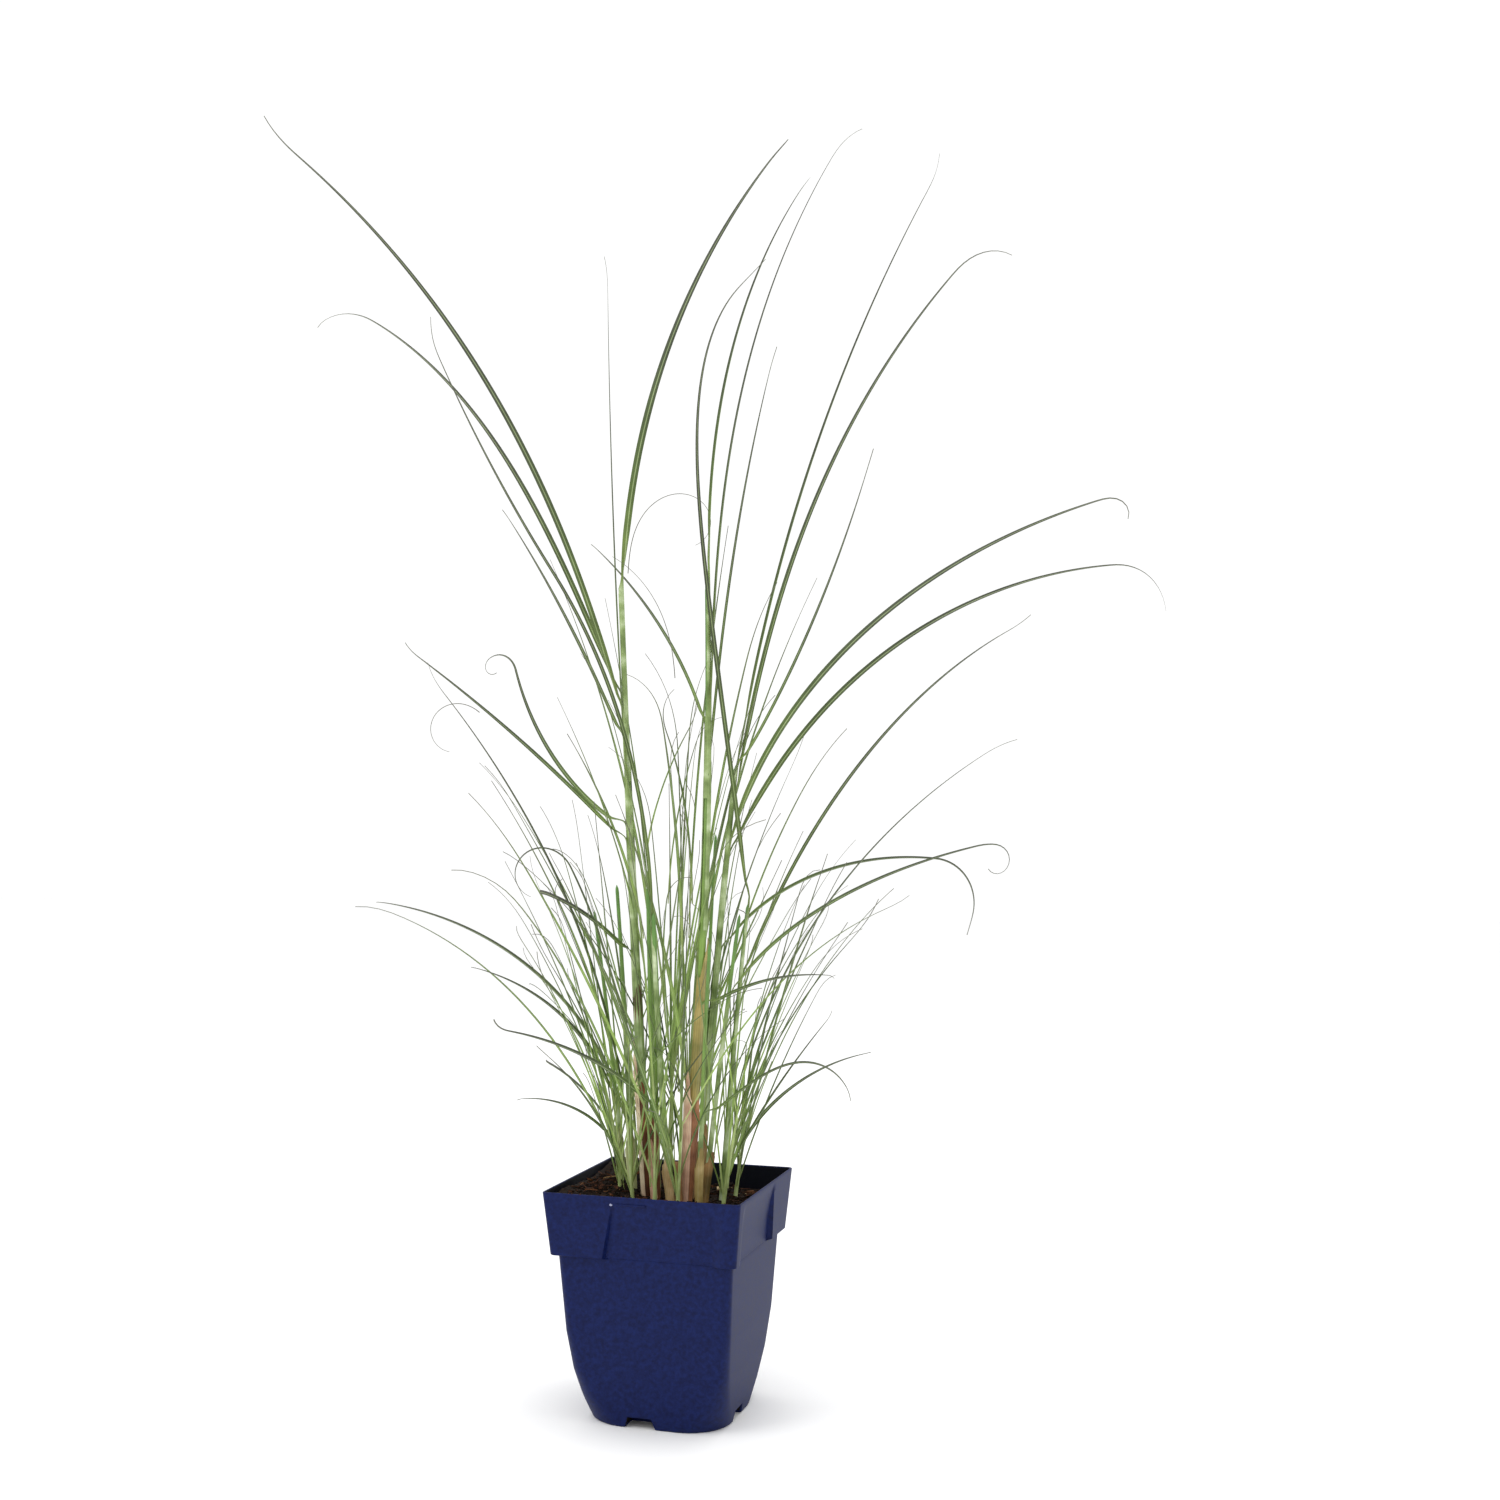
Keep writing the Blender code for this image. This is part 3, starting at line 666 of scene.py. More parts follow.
def soil_height(x, y):
    """The plug's own top, tilt and lumps, a bank against the left wall, and noise of three sizes.

    SOIL_NOISE has a row for each size: the height and the cell in mm, and the seed.
    """
    away = np.clip((np.hypot(x, y) - CLUMP_FLAT) / CLUMP_EDGE, 0, 1)
    lumps = np.sin(x / SOIL_LUMP_X) * np.cos(y / SOIL_LUMP_Y)
    noise = sum(rise * value_noise(x, y, cell * MM, seed) for rise, cell, seed in SOIL_NOISE)
    bank = SOIL_BANK * smooth_step(np.clip((-x - BANK_FROM) / BANK_EDGE, 0, 1))
    return SOIL_TOP + bank + away * (-SOIL_TILT * x / RIM_HALF + SOIL_ROUGHNESS * lumps) + noise * MM


shrink = np.linspace(1.0, 0.02, SOIL_TOP_RINGS)[:, None, None]
top_half = panel_half(SOIL_TOP) - POT_WALL - SOIL_GAP
top_outline = outline(
    np.array([SOIL_TOP]), np.array([top_half]), np.array([top_half]), np.array([COLLAR_CORNER]), 0.0
)
soil_top = top_outline * np.concatenate([shrink, shrink, np.ones_like(shrink)], axis=2)
soil_top[..., 2] = soil_height(soil_top[..., 0], soil_top[..., 1])
soil_inset = POT_WALL + SOIL_GAP
soil_side = body_rings(np.linspace(soil_inset, neck, SOIL_SIDE_RINGS), soil_inset)
soil_rings = np.concatenate([soil_side, soil_top])
soil_points = close_loft(soil_rings, soil_inset, float(soil_height(np.zeros(1), np.zeros(1))[0]))
soil_tone = 0.14 + 0.12 * value_noise(soil_points[:, 0], soil_points[:, 1], 3 * MM, 6)
print("soil top in mm:", [round(v / MM, 1) for v in (soil_top[..., 2].min(), soil_top[..., 2].max())])

# %% [markdown]
# ### Peat, bark and straw
#
# Peat is matt and nearly black when damp. Bark and coir chips are red-brown, and old straw is pale tan.
# One material covers them all: each bit carries a tone from 0 to 1, and a ramp turns it into a colour.

# %% Peat material
SPECKLE = 1.5 * MM
CRUMB_HEIGHT = 0.5 * MM


def peat_material(name, stops):
    """Peat and bark: tone through a ramp, mottled at 1.5 mm, fully rough, with a crumbly bump."""
    material = new_material(name)
    add = partial(add_node, material)
    place = add("ShaderNodeTexCoord").outputs["Object"]
    tone = add("ShaderNodeAttribute", attribute_name="tone").outputs["Fac"]
    texture = {"Vector": place, "Scale": 1 / SPECKLE, "Detail": 5.0}
    speckle = add("ShaderNodeTexNoise", texture).outputs["Fac"]
    spread = {"Value": speckle, "From Min": 0.25, "From Max": 0.75, "To Min": -0.14, "To Max": 0.14}
    shift = add("ShaderNodeMapRange", spread).outputs[0]
    mixed = add("ShaderNodeMath", {0: tone, 1: shift}, operation="ADD").outputs[0]
    colour = add("ShaderNodeValToRGB", {"Fac": mixed}, stops).outputs["Color"]
    relief = {"Height": speckle, "Distance": CRUMB_HEIGHT, "Strength": 0.7}
    bump = add("ShaderNodeBump", relief).outputs["Normal"]
    finish = {"Roughness": 0.92, "Specular IOR Level": 0.15}
    return finish_material(
        material, add("ShaderNodeBsdfPrincipled", {"Base Color": colour, "Normal": bump, **finish})
    )


peat = peat_material(
    "damp_peat_bark_and_straw",
    ((0.0, "#100B08"), (0.25, "#21150E"), (0.5, "#46281A"), (0.72, "#7A5334"), (1.0, "#CDB68C")),
)
soil = make_piece(
    "potting_soil",
    soil_points,
    loft_faces(*soil_rings.shape[:2]),
    peat,
    {"tone": soil_tone},
    node="soil",
    sharp_angle=60,
)
cut_away(soil, [notch_cutter(side) for side in range(4)])

# %% Chips and crumbs
CHIPS = 2600
CHIP_LIMIT = 0.93
BARK_SHARE = 0.2
RIM_CRUMBS = 16
rng = np.random.default_rng(7)


def chip_points(places, sizes, draw):
    """Rough blocks: the eight corners of a box, each moved a little, tipped and turned at random."""
    count = len(places)
    signs = np.array([(a, b, c) for a in (-1, 1) for b in (-1, 1) for c in (-1, 1)], float)
    corners = signs * sizes[:, None, :] * draw.uniform(0.3, 0.62, (count, 8, 3))
    axes, _ = np.linalg.qr(np.eye(3) + draw.normal(0, (0.35, 0.35, 0.25), (count, 3, 3)))
    axes = axes * np.sign(np.linalg.det(axes))[:, None, None]
    turn = draw.uniform(0, 2 * np.pi, count)
    level = np.zeros((count, 3, 3))
    level[:, 0, 0], level[:, 0, 1], level[:, 1, 0], level[:, 1, 1] = (
        np.cos(turn), -np.sin(turn), np.sin(turn), np.cos(turn)
    )
    level[:, 2, 2] = 1.0
    return places[:, None, :] + np.einsum("nij,nkj->nki", level @ axes, corners)


def box_faces(count):
    """Quads of many boxes whose corners are counted as in chip_points."""
    return (np.arange(count)[:, None, None] * 8 + np.array(BOX_FACES)).reshape(-1, 4)


chip_xy = rng.uniform(-1, 1, (CHIPS, 2)) * top_half * CHIP_LIMIT
long_side = rng.gamma(2.0, 0.75, CHIPS).clip(0.5, 5.5)
short_side = long_side * rng.uniform(0.3, 0.8, CHIPS)
chip_sizes = np.stack([long_side, short_side, long_side * 0.35 + 0.3], axis=-1) * MM
chip_z = soil_height(chip_xy[:, 0], chip_xy[:, 1]) + 0.25 * chip_sizes[:, 2]
is_bark = rng.uniform(size=CHIPS) < BARK_SHARE
chip_tone = np.where(is_bark, rng.uniform(0.36, 0.6, CHIPS), rng.uniform(0.02, 0.28, CHIPS))

crumb_places = np.full((RIM_CRUMBS, 3), (0.0, POT_WALL / 2 - RIM_HALF, POT_HEIGHT))
crumb_places[:, 0] = rng.uniform(-0.75, 0.6, RIM_CRUMBS) * RIM_HALF
crumb_sizes = rng.uniform(0.4, 1.1, (RIM_CRUMBS, 3)) * MM
all_places = np.concatenate([np.column_stack([chip_xy, chip_z]), crumb_places])
all_sizes = np.concatenate([chip_sizes, crumb_sizes])
all_tones = np.concatenate([chip_tone, rng.uniform(0.15, 0.6, RIM_CRUMBS)])
make_piece(
    "bark_chips_and_crumbs",
    chip_points(all_places, all_sizes, rng).reshape(-1, 3),
    [box_faces(len(all_places))],
    peat,
    {"tone": np.repeat(all_tones, 8)},
    sharp_angle=30,
)
print("chips and crumbs:", len(all_places))

# %% [markdown]
# ## Culms, blades and shoots: where they stand
#
# These are the same tables as in the part's own source, because this script can't read that file: each
# culm's place on the soil, its heading and lean, and each blade's culm, height, heading, lean, length
# and width. The visual blades follow the paths of the solid ones, apart from the curls at their tips.

# %% Tables of the plant
Culm = namedtuple("Culm", "x y heading lean_base lean_tip length radius_base radius_tip")
LEAF_FIELDS = "culm height heading lean_base lean_tip length bend width hook hook_from tip"
Leaf = namedtuple("Leaf", LEAF_FIELDS, defaults=(0, 1.0, 0.12))
Shoot = namedtuple("Shoot", "x y heading lean_base lean_tip length")

CULMS = (
    Culm(-17, 7, 198, 3, 2, 356, 2.5, 1.9),
    Culm(10, -5, 18, 5, -1, 356, 3.2, 1.8),
    Culm(4, -13, 198, 5, 2, 165, 2.3, 1.7),
    Culm(14, 6, 18, 4, 6, 250, 2.3, 1.5),
    Culm(20, -1, 18, 6, 8, 165, 1.9, 1.3),
    Culm(28, 7, 18, 4, 6, 170, 1.8, 1.2),
    Culm(-38, 24, 198, 4, 8, 165, 1.9, 1.3),
    Culm(-27, 10, 198, 2, 4, 180, 2.2, 1.4),
    Culm(-9, -1, 198, 2, 1, 180, 2.2, 1.5),
    Culm(8, 31, 78, 3, 7, 210, 1.8, 1.2),
    Culm(-18, 30, 128, 3, 8, 190, 1.8, 1.2),
    Culm(22, -18, 308, 4, 9, 150, 1.7, 1.1),
)
LEAVES = (
    Leaf(1, 278, 222, 17, 58, 384, 1.4, 3.6),
    Leaf(1, 286, 178, 24, 70, 334, 2.2, 3.4, 45, 0.88),
    Leaf(3, 150, 172, 0, 65, 408, 1.05, 2.4, -40, 0.55),
    Leaf(1, 262, 150, 32, 44, 192, 1.0, 2.2),
    Leaf(1, 236, 262, 8, 1, 302, 1.0, 2.4),
    Leaf(1, 357, 348, 4, 49, 268, 1.2, 4.2),
    Leaf(6, 170, 48, -9, 66, 385, 5.5, 2.8),
    Leaf(2, 357, 48, -1, 37, 258, 1.2, 3.8),
    Leaf(2, 282, 346, 2, 42, 335, 1.8, 3.0),
    Leaf(2, 250, 78, 9, 27, 270, 1.0, 1.8),
    Leaf(4, 250, 40, 10, 31, 396, 1.0, 3.4),
    Leaf(4, 226, 3, 10, 48, 362, 1.5, 3.4),
    Leaf(4, 247, 325, 45, 24, 202, 1.0, 1.8),
    Leaf(4, 200, 356, 10, 80, 318, 0.74, 3.6, 60, 0.93),
    Leaf(4, 196, 30, 23, 94, 360, 1.0, 3.4, 55, 0.86),
    Leaf(6, 125, 58, 26, 69, 350, 0.9, 2.2),
    Leaf(6, 40, 338, 15, 65, 296, 1.0, 2.0),
    Leaf(4, 140, 32, 22, 112, 210, 0.62, 2.8, 110, 0.72),
    Leaf(5, 116, 8, 14, 82, 210, 0.42, 2.8, 120, 0.85),
    Leaf(2, 110, 328, 62, 91, 112, 1.0, 2.0),
    Leaf(6, 10, 38, 14, 84, 124, 0.8, 2.2),
    Leaf(6, 15, 340, 31, 43, 122, 1.0, 2.4),
    Leaf(12, 50, 335, 55, 165, 122, 3.4, 2.2),
    Leaf(1, 212, 168, 62, 2, 168, 1.0, 2.6, 190, 0.76),
    Leaf(1, 203, 208, 43, 54, 172, 1.0, 2.8),
    Leaf(8, 35, 223, 6, 42, 300, 0.9, 2.6),
    Leaf(8, 100, 183, 14, 40, 160, 1.3, 2.4, 170, 0.6),
    Leaf(1, 137, 238, 44, 72, 78, 1.0, 3.4, 0, 1.0, 0.75),
    Leaf(7, 62, 190, 19, 84, 192, 0.85, 3.0),
    Leaf(7, 50, 233, 15, 76, 136, 0.8, 2.4),
    Leaf(3, 50, 228, 40, 80, 122, 0.8, 2.8, 0, 1.0, 0.3),
    Leaf(7, 30, 163, 36, 72, 70, 1.0, 2.8, 0, 1.0, 0.75),
    Leaf(7, 24, 205, 32, 96, 70, 1.0, 2.2),
    Leaf(2, 268, 150, 12, 56, 165, 0.5, 2.0),
)
SHOOTS = (
    Shoot(-30, -2, 250, 6, 26, 160),
    Shoot(-20, -10, 270, 8, 34, 210),
    Shoot(-4, -18, 290, 6, 30, 200),
    Shoot(12, -26, 300, 10, 38, 190),
    Shoot(33, -8, 340, 8, 30, 180),
    Shoot(32, 20, 50, 8, 30, 170),
    Shoot(24, 28, 60, 8, 30, 200),
    Shoot(4, 18, 100, 4, 16, 240),
    Shoot(-6, 38, 110, 10, 36, 220),
    Shoot(-30, 40, 140, 8, 32, 190),
    Shoot(-34, 14, 200, 6, 24, 170),
    Shoot(-8, 15, 30, 2, 8, 250),
)

print(len(CULMS), "culms,", len(LEAVES), "blades,", len(SHOOTS), "young shoots")

# %% [markdown]
# ## Culms
#
# A culm is a round green stem with a slightly swollen joint every few centimetres. Most of it is hidden
# under the leaf sheaths that wrap it, and the lowest sheaths have dried to brown paper.

# %% Culm surfaces
AXIS_ROWS = 200
CULM_ROWS = 90
CULM_SIDES = 16
STEM_LIFT = 1.0 * MM
STEM_SINKS = 3 * MM
CORE_SHARE = 0.74
JOINT_SPACING = 74 * MM
JOINT_FROM = 0.42
JOINT_EDGE = 0.08
JOINT_SWELLING = 0.10
TIP_CLOSES_OVER = 3 * MM


def culm_axis(culm, heights):
    """Points on a culm's axis at lengths along it, by walking the whole culm and reading between rows."""
    share = np.linspace(0.0, 1.0, AXIS_ROWS)
    whole = culm.length * MM
    start = np.array([culm.x * MM, culm.y * MM, SOIL_TOP + STEM_LIFT])
    path = walk(start, culm.heading, mix(culm.lean_base, culm.lean_tip, share), whole)
    lengths = share * whole
    beyond = np.clip(heights - whole, 0.0, None)[..., None] * direction(culm.heading, culm.lean_tip)
    return np.stack([np.interp(heights, lengths, path[:, k]) for k in range(3)], axis=-1) + beyond


def culm_radius(culm, heights):
    """Radius of the solid culm at lengths along it: a straight taper."""
    return mix(culm.radius_base, culm.radius_tip, np.clip(heights / (culm.length * MM), 0, 1)) * MM


def level_circle(sides):
    """Points (cos a, -sin a, 0) of a level circle of radius one."""
    angle = np.linspace(0.0, 2 * np.pi, sides, endpoint=False)
    return np.stack([np.cos(angle), -np.sin(angle), np.zeros(sides)], axis=-1)


def tube_surface(path, radius, sides):
    """Round tube of level circles, which suits a nearly upright path: path + r * circle."""
    return path[:, None, :] + radius[:, None, None] * level_circle(sides)


def culm_surface(culm):
    """Stem surface: a circle carried up the axis, r = core * (1 + joint * bump), closed at the tip."""
    heights = np.linspace(-STEM_SINKS, culm.length * MM, CULM_ROWS)
    from_joint = np.abs((heights / JOINT_SPACING) % 1.0 - 0.5) - JOINT_FROM
    swelling = 1.0 + JOINT_SWELLING * smooth_step(from_joint / JOINT_EDGE)
    closing = np.sqrt(np.clip((heights[-1] - heights) / TIP_CLOSES_OVER, 0.0025, 1.0))
    radius = culm_radius(culm, heights) * CORE_SHARE * swelling * closing
    points = tube_surface(culm_axis(culm, heights), radius, CULM_SIDES)
    along = np.broadcast_to(heights[:, None] / heights[-1], points.shape[:2])
    across = np.broadcast_to(-level_circle(CULM_SIDES)[:, 1], points.shape[:2])
    return points, along, across


# %% [markdown]
# ## Blades
#
# A blade is a shallow V folded along its midrib. It could be a flat strip with Solidify, but then its
# thread of a tip would be as thick as its midrib. So each ring of points goes across the upper face and
# back along the lower one, and the two faces meet at the margins. One function makes any number of
# blades together, as arrays of blade by row by ring point.

# %% Blade surface
BLADE_FOLD = 0.38
WIDTH_GAIN = 0.96
TAPER_FROM = 0.35
TAPER_POWER = 1.3
FOOT_SHARE = 0.75
MIDRIB_THICKNESS = 0.45 * MM
MARGIN_THICKNESS = 0.15 * MM
THREAD_HALF_WIDTH = 0.22 * MM
CURL_POWER = 1.4
ROLL_OVER = 0.15
BLADE_FIELDS = "start heading lean_base lean_tip length bend width tip roll twist "
Blades = namedtuple("Blades", BLADE_FIELDS + "curl_from curl_lean curl_turn")


def half_width(share, width, tip):
    """Half width along a blade: full over its lower part, then w / 2 * (1 - (1 - tip) * n^1.3)."""
    narrowing = np.clip(share - TAPER_FROM, 0.0, None) / (1.0 - TAPER_FROM)
    foot = mix(FOOT_SHARE, 1.0, np.clip(share / 0.1, 0, 1))
    half = 0.5 * width * foot * (1.0 - (1.0 - tip) * narrowing**TAPER_POWER)
    return np.maximum(half, THREAD_HALF_WIDTH)


def blade_surface(blades, rows, columns, extra_lean=0.0):
    """Points of V-shaped blades: path + side * w * t + up * (fold * w * |t|^1.2 - depth), t across.

    The lean runs from base to tip as a power of the share, and a curl adds its own lean and turn near
    the tip. Every field of blades is an array with one value for each blade, lengths in metres.
    """
    share = np.linspace(0.0, 1.0, rows)[None, :]
    field = {key: np.asarray(value, float) for key, value in blades._asdict().items()}
    field = {key: value[:, None] for key, value in field.items() if key != "start"}
    late = np.clip((share - field["curl_from"]) / np.maximum(1.0 - field["curl_from"], 0.01), 0.0, 1.0)
    lean = mix(field["lean_base"], field["lean_tip"], share ** field["bend"])
    lean = lean + field["curl_lean"] * late**CURL_POWER + extra_lean
    heading = field["heading"] + field["curl_turn"] * late**CURL_POWER
    path = walk(blades.start, heading, lean, np.asarray(blades.length, float))
    roll = field["roll"] * smooth_step(share / ROLL_OVER) + field["twist"] * share
    side, face = side_and_face(path, heading, roll)
    shares, layers = ring_shares(columns)
    half = half_width(share, field["width"], field["tip"])
    slimming = np.minimum(half / (0.5 * field["width"]), 1.0)[..., None]
    reach = np.abs(shares)
    depth = mix(MIDRIB_THICKNESS, MARGIN_THICKNESS, np.sqrt(reach)) * slimming * layers
    rise = BLADE_FOLD * half[..., None] * reach**1.2 - depth
    points = (
        path[:, :, None, :]
        + side[:, :, None, :] * (half[..., None] * shares)[..., None]
        + face[:, :, None, :] * rise[..., None]
    )
    along = np.broadcast_to(share[..., None], points.shape[:3])
    across = np.broadcast_to(shares, points.shape[:3])
    return points, along, across


# %% [markdown]
# ### Straw and fibres
#
# The straws and fibres on the soil are narrow blades that lie down, so the blade function makes them too.

# %% Straw and fibres on the soil
STRAWS = 15
STRAW_WIDTH = 1.3 * MM
STRAW_LENGTHS = (5 * MM, 13 * MM)
FIBRES = 170
FIBRE_WIDTH = 0.5 * MM
FIBRE_LENGTHS = (4 * MM, 11 * MM)
LYING_SHARE = 0.9
LYING_LIFT = 1.0 * MM
LYING_ROWS = 10
LYING_RING = 4


def lying_blades(count, width, lengths, draw):
    """Blades that start on the soil and lie along it with a slight arch."""
    xy = draw.uniform(-1, 1, (count, 2)) * top_half * LYING_SHARE
    z = soil_height(xy[:, 0], xy[:, 1]) + LYING_LIFT
    lean = draw.uniform(76, 92, count)
    return Blades(
        np.column_stack([xy, z]), draw.uniform(0, 360, count), lean, lean + draw.uniform(2, 24, count),
        draw.uniform(*lengths, count), np.ones(count), np.full(count, width), np.full(count, 0.5),
        draw.uniform(-40, 40, count), draw.uniform(-60, 60, count), np.full(count, 0.5),
        draw.uniform(-10, 20, count), draw.normal(0, 40, count),
    )


straws = lying_blades(STRAWS, STRAW_WIDTH, STRAW_LENGTHS, rng)
fibres = lying_blades(FIBRES, FIBRE_WIDTH, FIBRE_LENGTHS, rng)
straw, _, _ = blade_surface(straws, LYING_ROWS, LYING_RING // 2)
fibre, _, _ = blade_surface(fibres, LYING_ROWS, LYING_RING // 2)
inside = top_half - SOIL_GAP
for bits in (straw, fibre):
    bits[..., :2] = bits[..., :2].clip(-inside, inside)
straw_tone = np.repeat(rng.uniform(0.75, 1.0, STRAWS), straw[0, ..., 0].size)
fibre_tone = np.repeat(rng.uniform(0.3, 0.65, FIBRES), fibre[0, ..., 0].size)
make_piece(
    "straw_and_fibres",
    np.concatenate([straw.reshape(-1, 3), fibre.reshape(-1, 3)]),
    strip_faces(STRAWS, LYING_ROWS, LYING_RING)
    + strip_faces(FIBRES, LYING_ROWS, LYING_RING, first=straw[..., 0].size),
    peat,
    {"tone": np.concatenate([straw_tone, fibre_tone])},
)
print("straws:", STRAWS, "fibres:", FIBRES)

# %% [markdown]
# ## Leaves with their sheaths
#
# A grass leaf is one surface in two parts. Its sheath is rolled round the culm like a sleeve, and at the
# collar it opens out into the blade. So each leaf here is one strip too: its rings start as arcs about
# the culm's axis and blend, over the collar's length, into the blade's own V.

# %% Leaf surface
BLADE_ROWS = 90
SHEATH_ROWS = 24
BLADE_COLUMNS = 8
COLLAR_LENGTH = 14 * MM
SHEATH_HALF_TURN = 150
COLLAR_HALF_TURN = 40
COLLAR_OPENS = 0.7
SHEATH_THICKNESS = 0.2 * MM
FIRST_LAYER = CORE_SHARE + 0.06
LAYER_STEP = 0.055


def one_leaf(leaf, start, roll, twist, curl):
    """A table row as a batch of one blade, in metres."""
    fields = (leaf.heading, leaf.lean_base, leaf.lean_tip, leaf.length * MM, leaf.bend)
    fields += (leaf.width * MM * WIDTH_GAIN, leaf.tip, roll, twist, *curl)
    return Blades(start[None, :], *([value] for value in fields))


def leaf_surface(leaf, layer, sheath_length, roll, twist, curl):
    """Rings of one leaf: an arc about the culm, r * (cos a, sin a), blended into the blade's V."""
    culm = CULMS[leaf.culm - 1]
    height = min(leaf.height, culm.length) * MM
    length = leaf.length * MM
    share = np.linspace(0.0, 1.0, BLADE_ROWS)
    outward = direction(leaf.heading, 90.0)
    level = direction(leaf.heading + 90.0, 90.0)
    layer_share = FIRST_LAYER + layer * LAYER_STEP
    start = culm_axis(culm, np.array(height)) + outward * culm_radius(culm, height) * layer_share
    hook = np.clip((share - leaf.hook_from) / max(1.0 - leaf.hook_from, 0.01), 0.0, 1.0) * leaf.hook
    blade, _, _ = blade_surface(
        one_leaf(leaf, start, roll, twist, curl), BLADE_ROWS, BLADE_COLUMNS, hook[None, :]
    )
    sheath_heights = np.linspace(height - sheath_length, height, SHEATH_ROWS, endpoint=False)
    travelled = np.concatenate([sheath_heights - height, share * length])
    axis = culm_axis(culm, height + np.minimum(travelled, COLLAR_LENGTH))
    radius = culm_radius(culm, height + travelled) * layer_share
    shares, layers = ring_shares(BLADE_COLUMNS)
    opening = smooth_step(travelled / COLLAR_LENGTH + COLLAR_OPENS)
    half_turn = mix(SHEATH_HALF_TURN, COLLAR_HALF_TURN, opening)
    angle = np.radians(half_turn[:, None] * shares)
    spread = radius[:, None] + layers * SHEATH_THICKNESS
    arc = axis[:, None, :] + spread[..., None] * (
        np.cos(angle)[..., None] * outward + np.sin(angle)[..., None] * level
    )
    whole = np.concatenate([arc[:SHEATH_ROWS], blade[0]])
    points = mix(arc, whole, smooth_step(travelled / COLLAR_LENGTH)[:, None, None])
    along = np.concatenate([np.zeros(SHEATH_ROWS), share])[:, None]
    sheath = smooth_step(0.5 - travelled / COLLAR_LENGTH)[:, None]
    ones = np.ones(points.shape[:2])
    return points, along * ones, shares * ones, sheath * ones


# %% Special tips
# Leaf number: where along the blade its curl starts, then the lean and the turn that the curl adds by
# the very tip, in degrees. Every other leaf gets a slight curl at random.
TIP_CURLS = {
    2: (0.93, 35, 60),
    12: (0.90, 70, 20),
    14: (0.94, 60, 0),
    15: (0.86, 20, 25),
    19: (0.80, 120, 40),
    24: (0.9, 120, 30),
    27: (0.72, 40, 40),
    28: (0.9, 10, 0),
    31: (0.9, -60, 0),
}
SHEATH_LENGTHS = (38, 95)
SHEATH_OVERLAP = 18
SHEATH_SINKS = 2


def dryness(along, tip_from, strength):
    """How dry a blade is along it: 0 to tip_from, then rising to strength at the tip."""
    return strength * smooth_step((along - tip_from) / np.maximum(1.0 - tip_from, 0.01))


for number, leaf in enumerate(LEAVES, 1):
    siblings = sorted(other.height for other in LEAVES if other.culm == leaf.culm)
    layer = len(siblings) - 1 - siblings.index(leaf.height)
    lower = [other for other in siblings if other < leaf.height]
    room = leaf.height - (lower[-1] if lower else 0) + SHEATH_OVERLAP
    sheath_length = float(np.clip(room, *SHEATH_LENGTHS))
    sheath_length = min(sheath_length, leaf.height + SHEATH_SINKS) * MM
    roll = rng.uniform(50, 66) * rng.choice((-1, 1))
    twist = rng.uniform(-20, 20)
    curl = TIP_CURLS.get(number, (0.93, rng.uniform(-25, 35), rng.uniform(-60, 60)))
    points, along, across, sheath = leaf_surface(leaf, layer, sheath_length, roll, twist, curl)
    age = np.clip(0.35 + 0.6 * (leaf.length / 400) + rng.uniform(-0.15, 0.15), 0, 1)
    make_piece(
        f"grass_leaf_{number:02d}",
        points.reshape(-1, 3),
        strip_faces(1, points.shape[0], points.shape[1]),
        blade_green,
        {
            "along": along.ravel(),
            "across": across.ravel(),
            "age": age,
            "dry": dryness(along, 0.9, 0.15).ravel(),
            "sheath": sheath.ravel(),
            "tone": 0.5,
        },
        node=f"leaf_{number:02d}",
    )
print("leaves made:", len(LEAVES))

# %% [markdown]
# ### Dry sheaths at the foot
#
# The oldest sheaths round a culm have dried to paper: cream, pink-tan and brown, a little loose, with a
# slanted torn top. Each is an arc about its culm that stands off further towards its top, and its top
# edge rises to a point on one side.

# %% Dry sheaths
Wrap = namedtuple("Wrap", "culm low high point facing half_turn stand_off flare dry tone")
WRAPS = (
    Wrap(1, -2, 66, 14, 270, 130, 0.5, 0.8, 1.0, 0.25),
    Wrap(1, -2, 92, 20, 235, 38, 1.1, 1.0, 1.0, 0.95),
    Wrap(9, -2, 52, 12, 290, 120, 0.4, 0.8, 1.0, 0.3),
    Wrap(9, -2, 34, 10, 250, 60, 0.9, 1.2, 1.0, 0.7),
    Wrap(2, -2, 74, 22, 215, 95, 0.8, 1.6, 1.0, 0.8),
    Wrap(2, -2, 58, 14, 300, 100, 0.5, 0.7, 1.0, 0.45),
    Wrap(2, 40, 150, 20, 330, 130, 0.3, 0.3, 0.55, 0.4),
    Wrap(4, -2, 44, 12, 280, 120, 0.4, 0.6, 0.8, 0.5),
    Wrap(5, -2, 30, 8, 300, 120, 0.4, 0.8, 0.8, 0.35),
    Wrap(8, -2, 40, 14, 260, 120, 0.4, 0.9, 0.35, 1.0),
    Wrap(7, -2, 36, 10, 280, 110, 0.3, 0.6, 0.3, 1.0),
    Wrap(3, -2, 26, 8, 250, 110, 0.4, 0.8, 0.7, 0.6),
    Wrap(1, 92, 122, 8, 280, 120, 0.25, 0.3, 0.9, 0.1),
    Wrap(12, -2, 34, 10, 270, 110, 0.3, 0.9, 0.6, 0.5),
)
WRAP_ROWS = 22
WRAP_COLUMNS = 14
PAPER_THICKNESS = 0.18 * MM


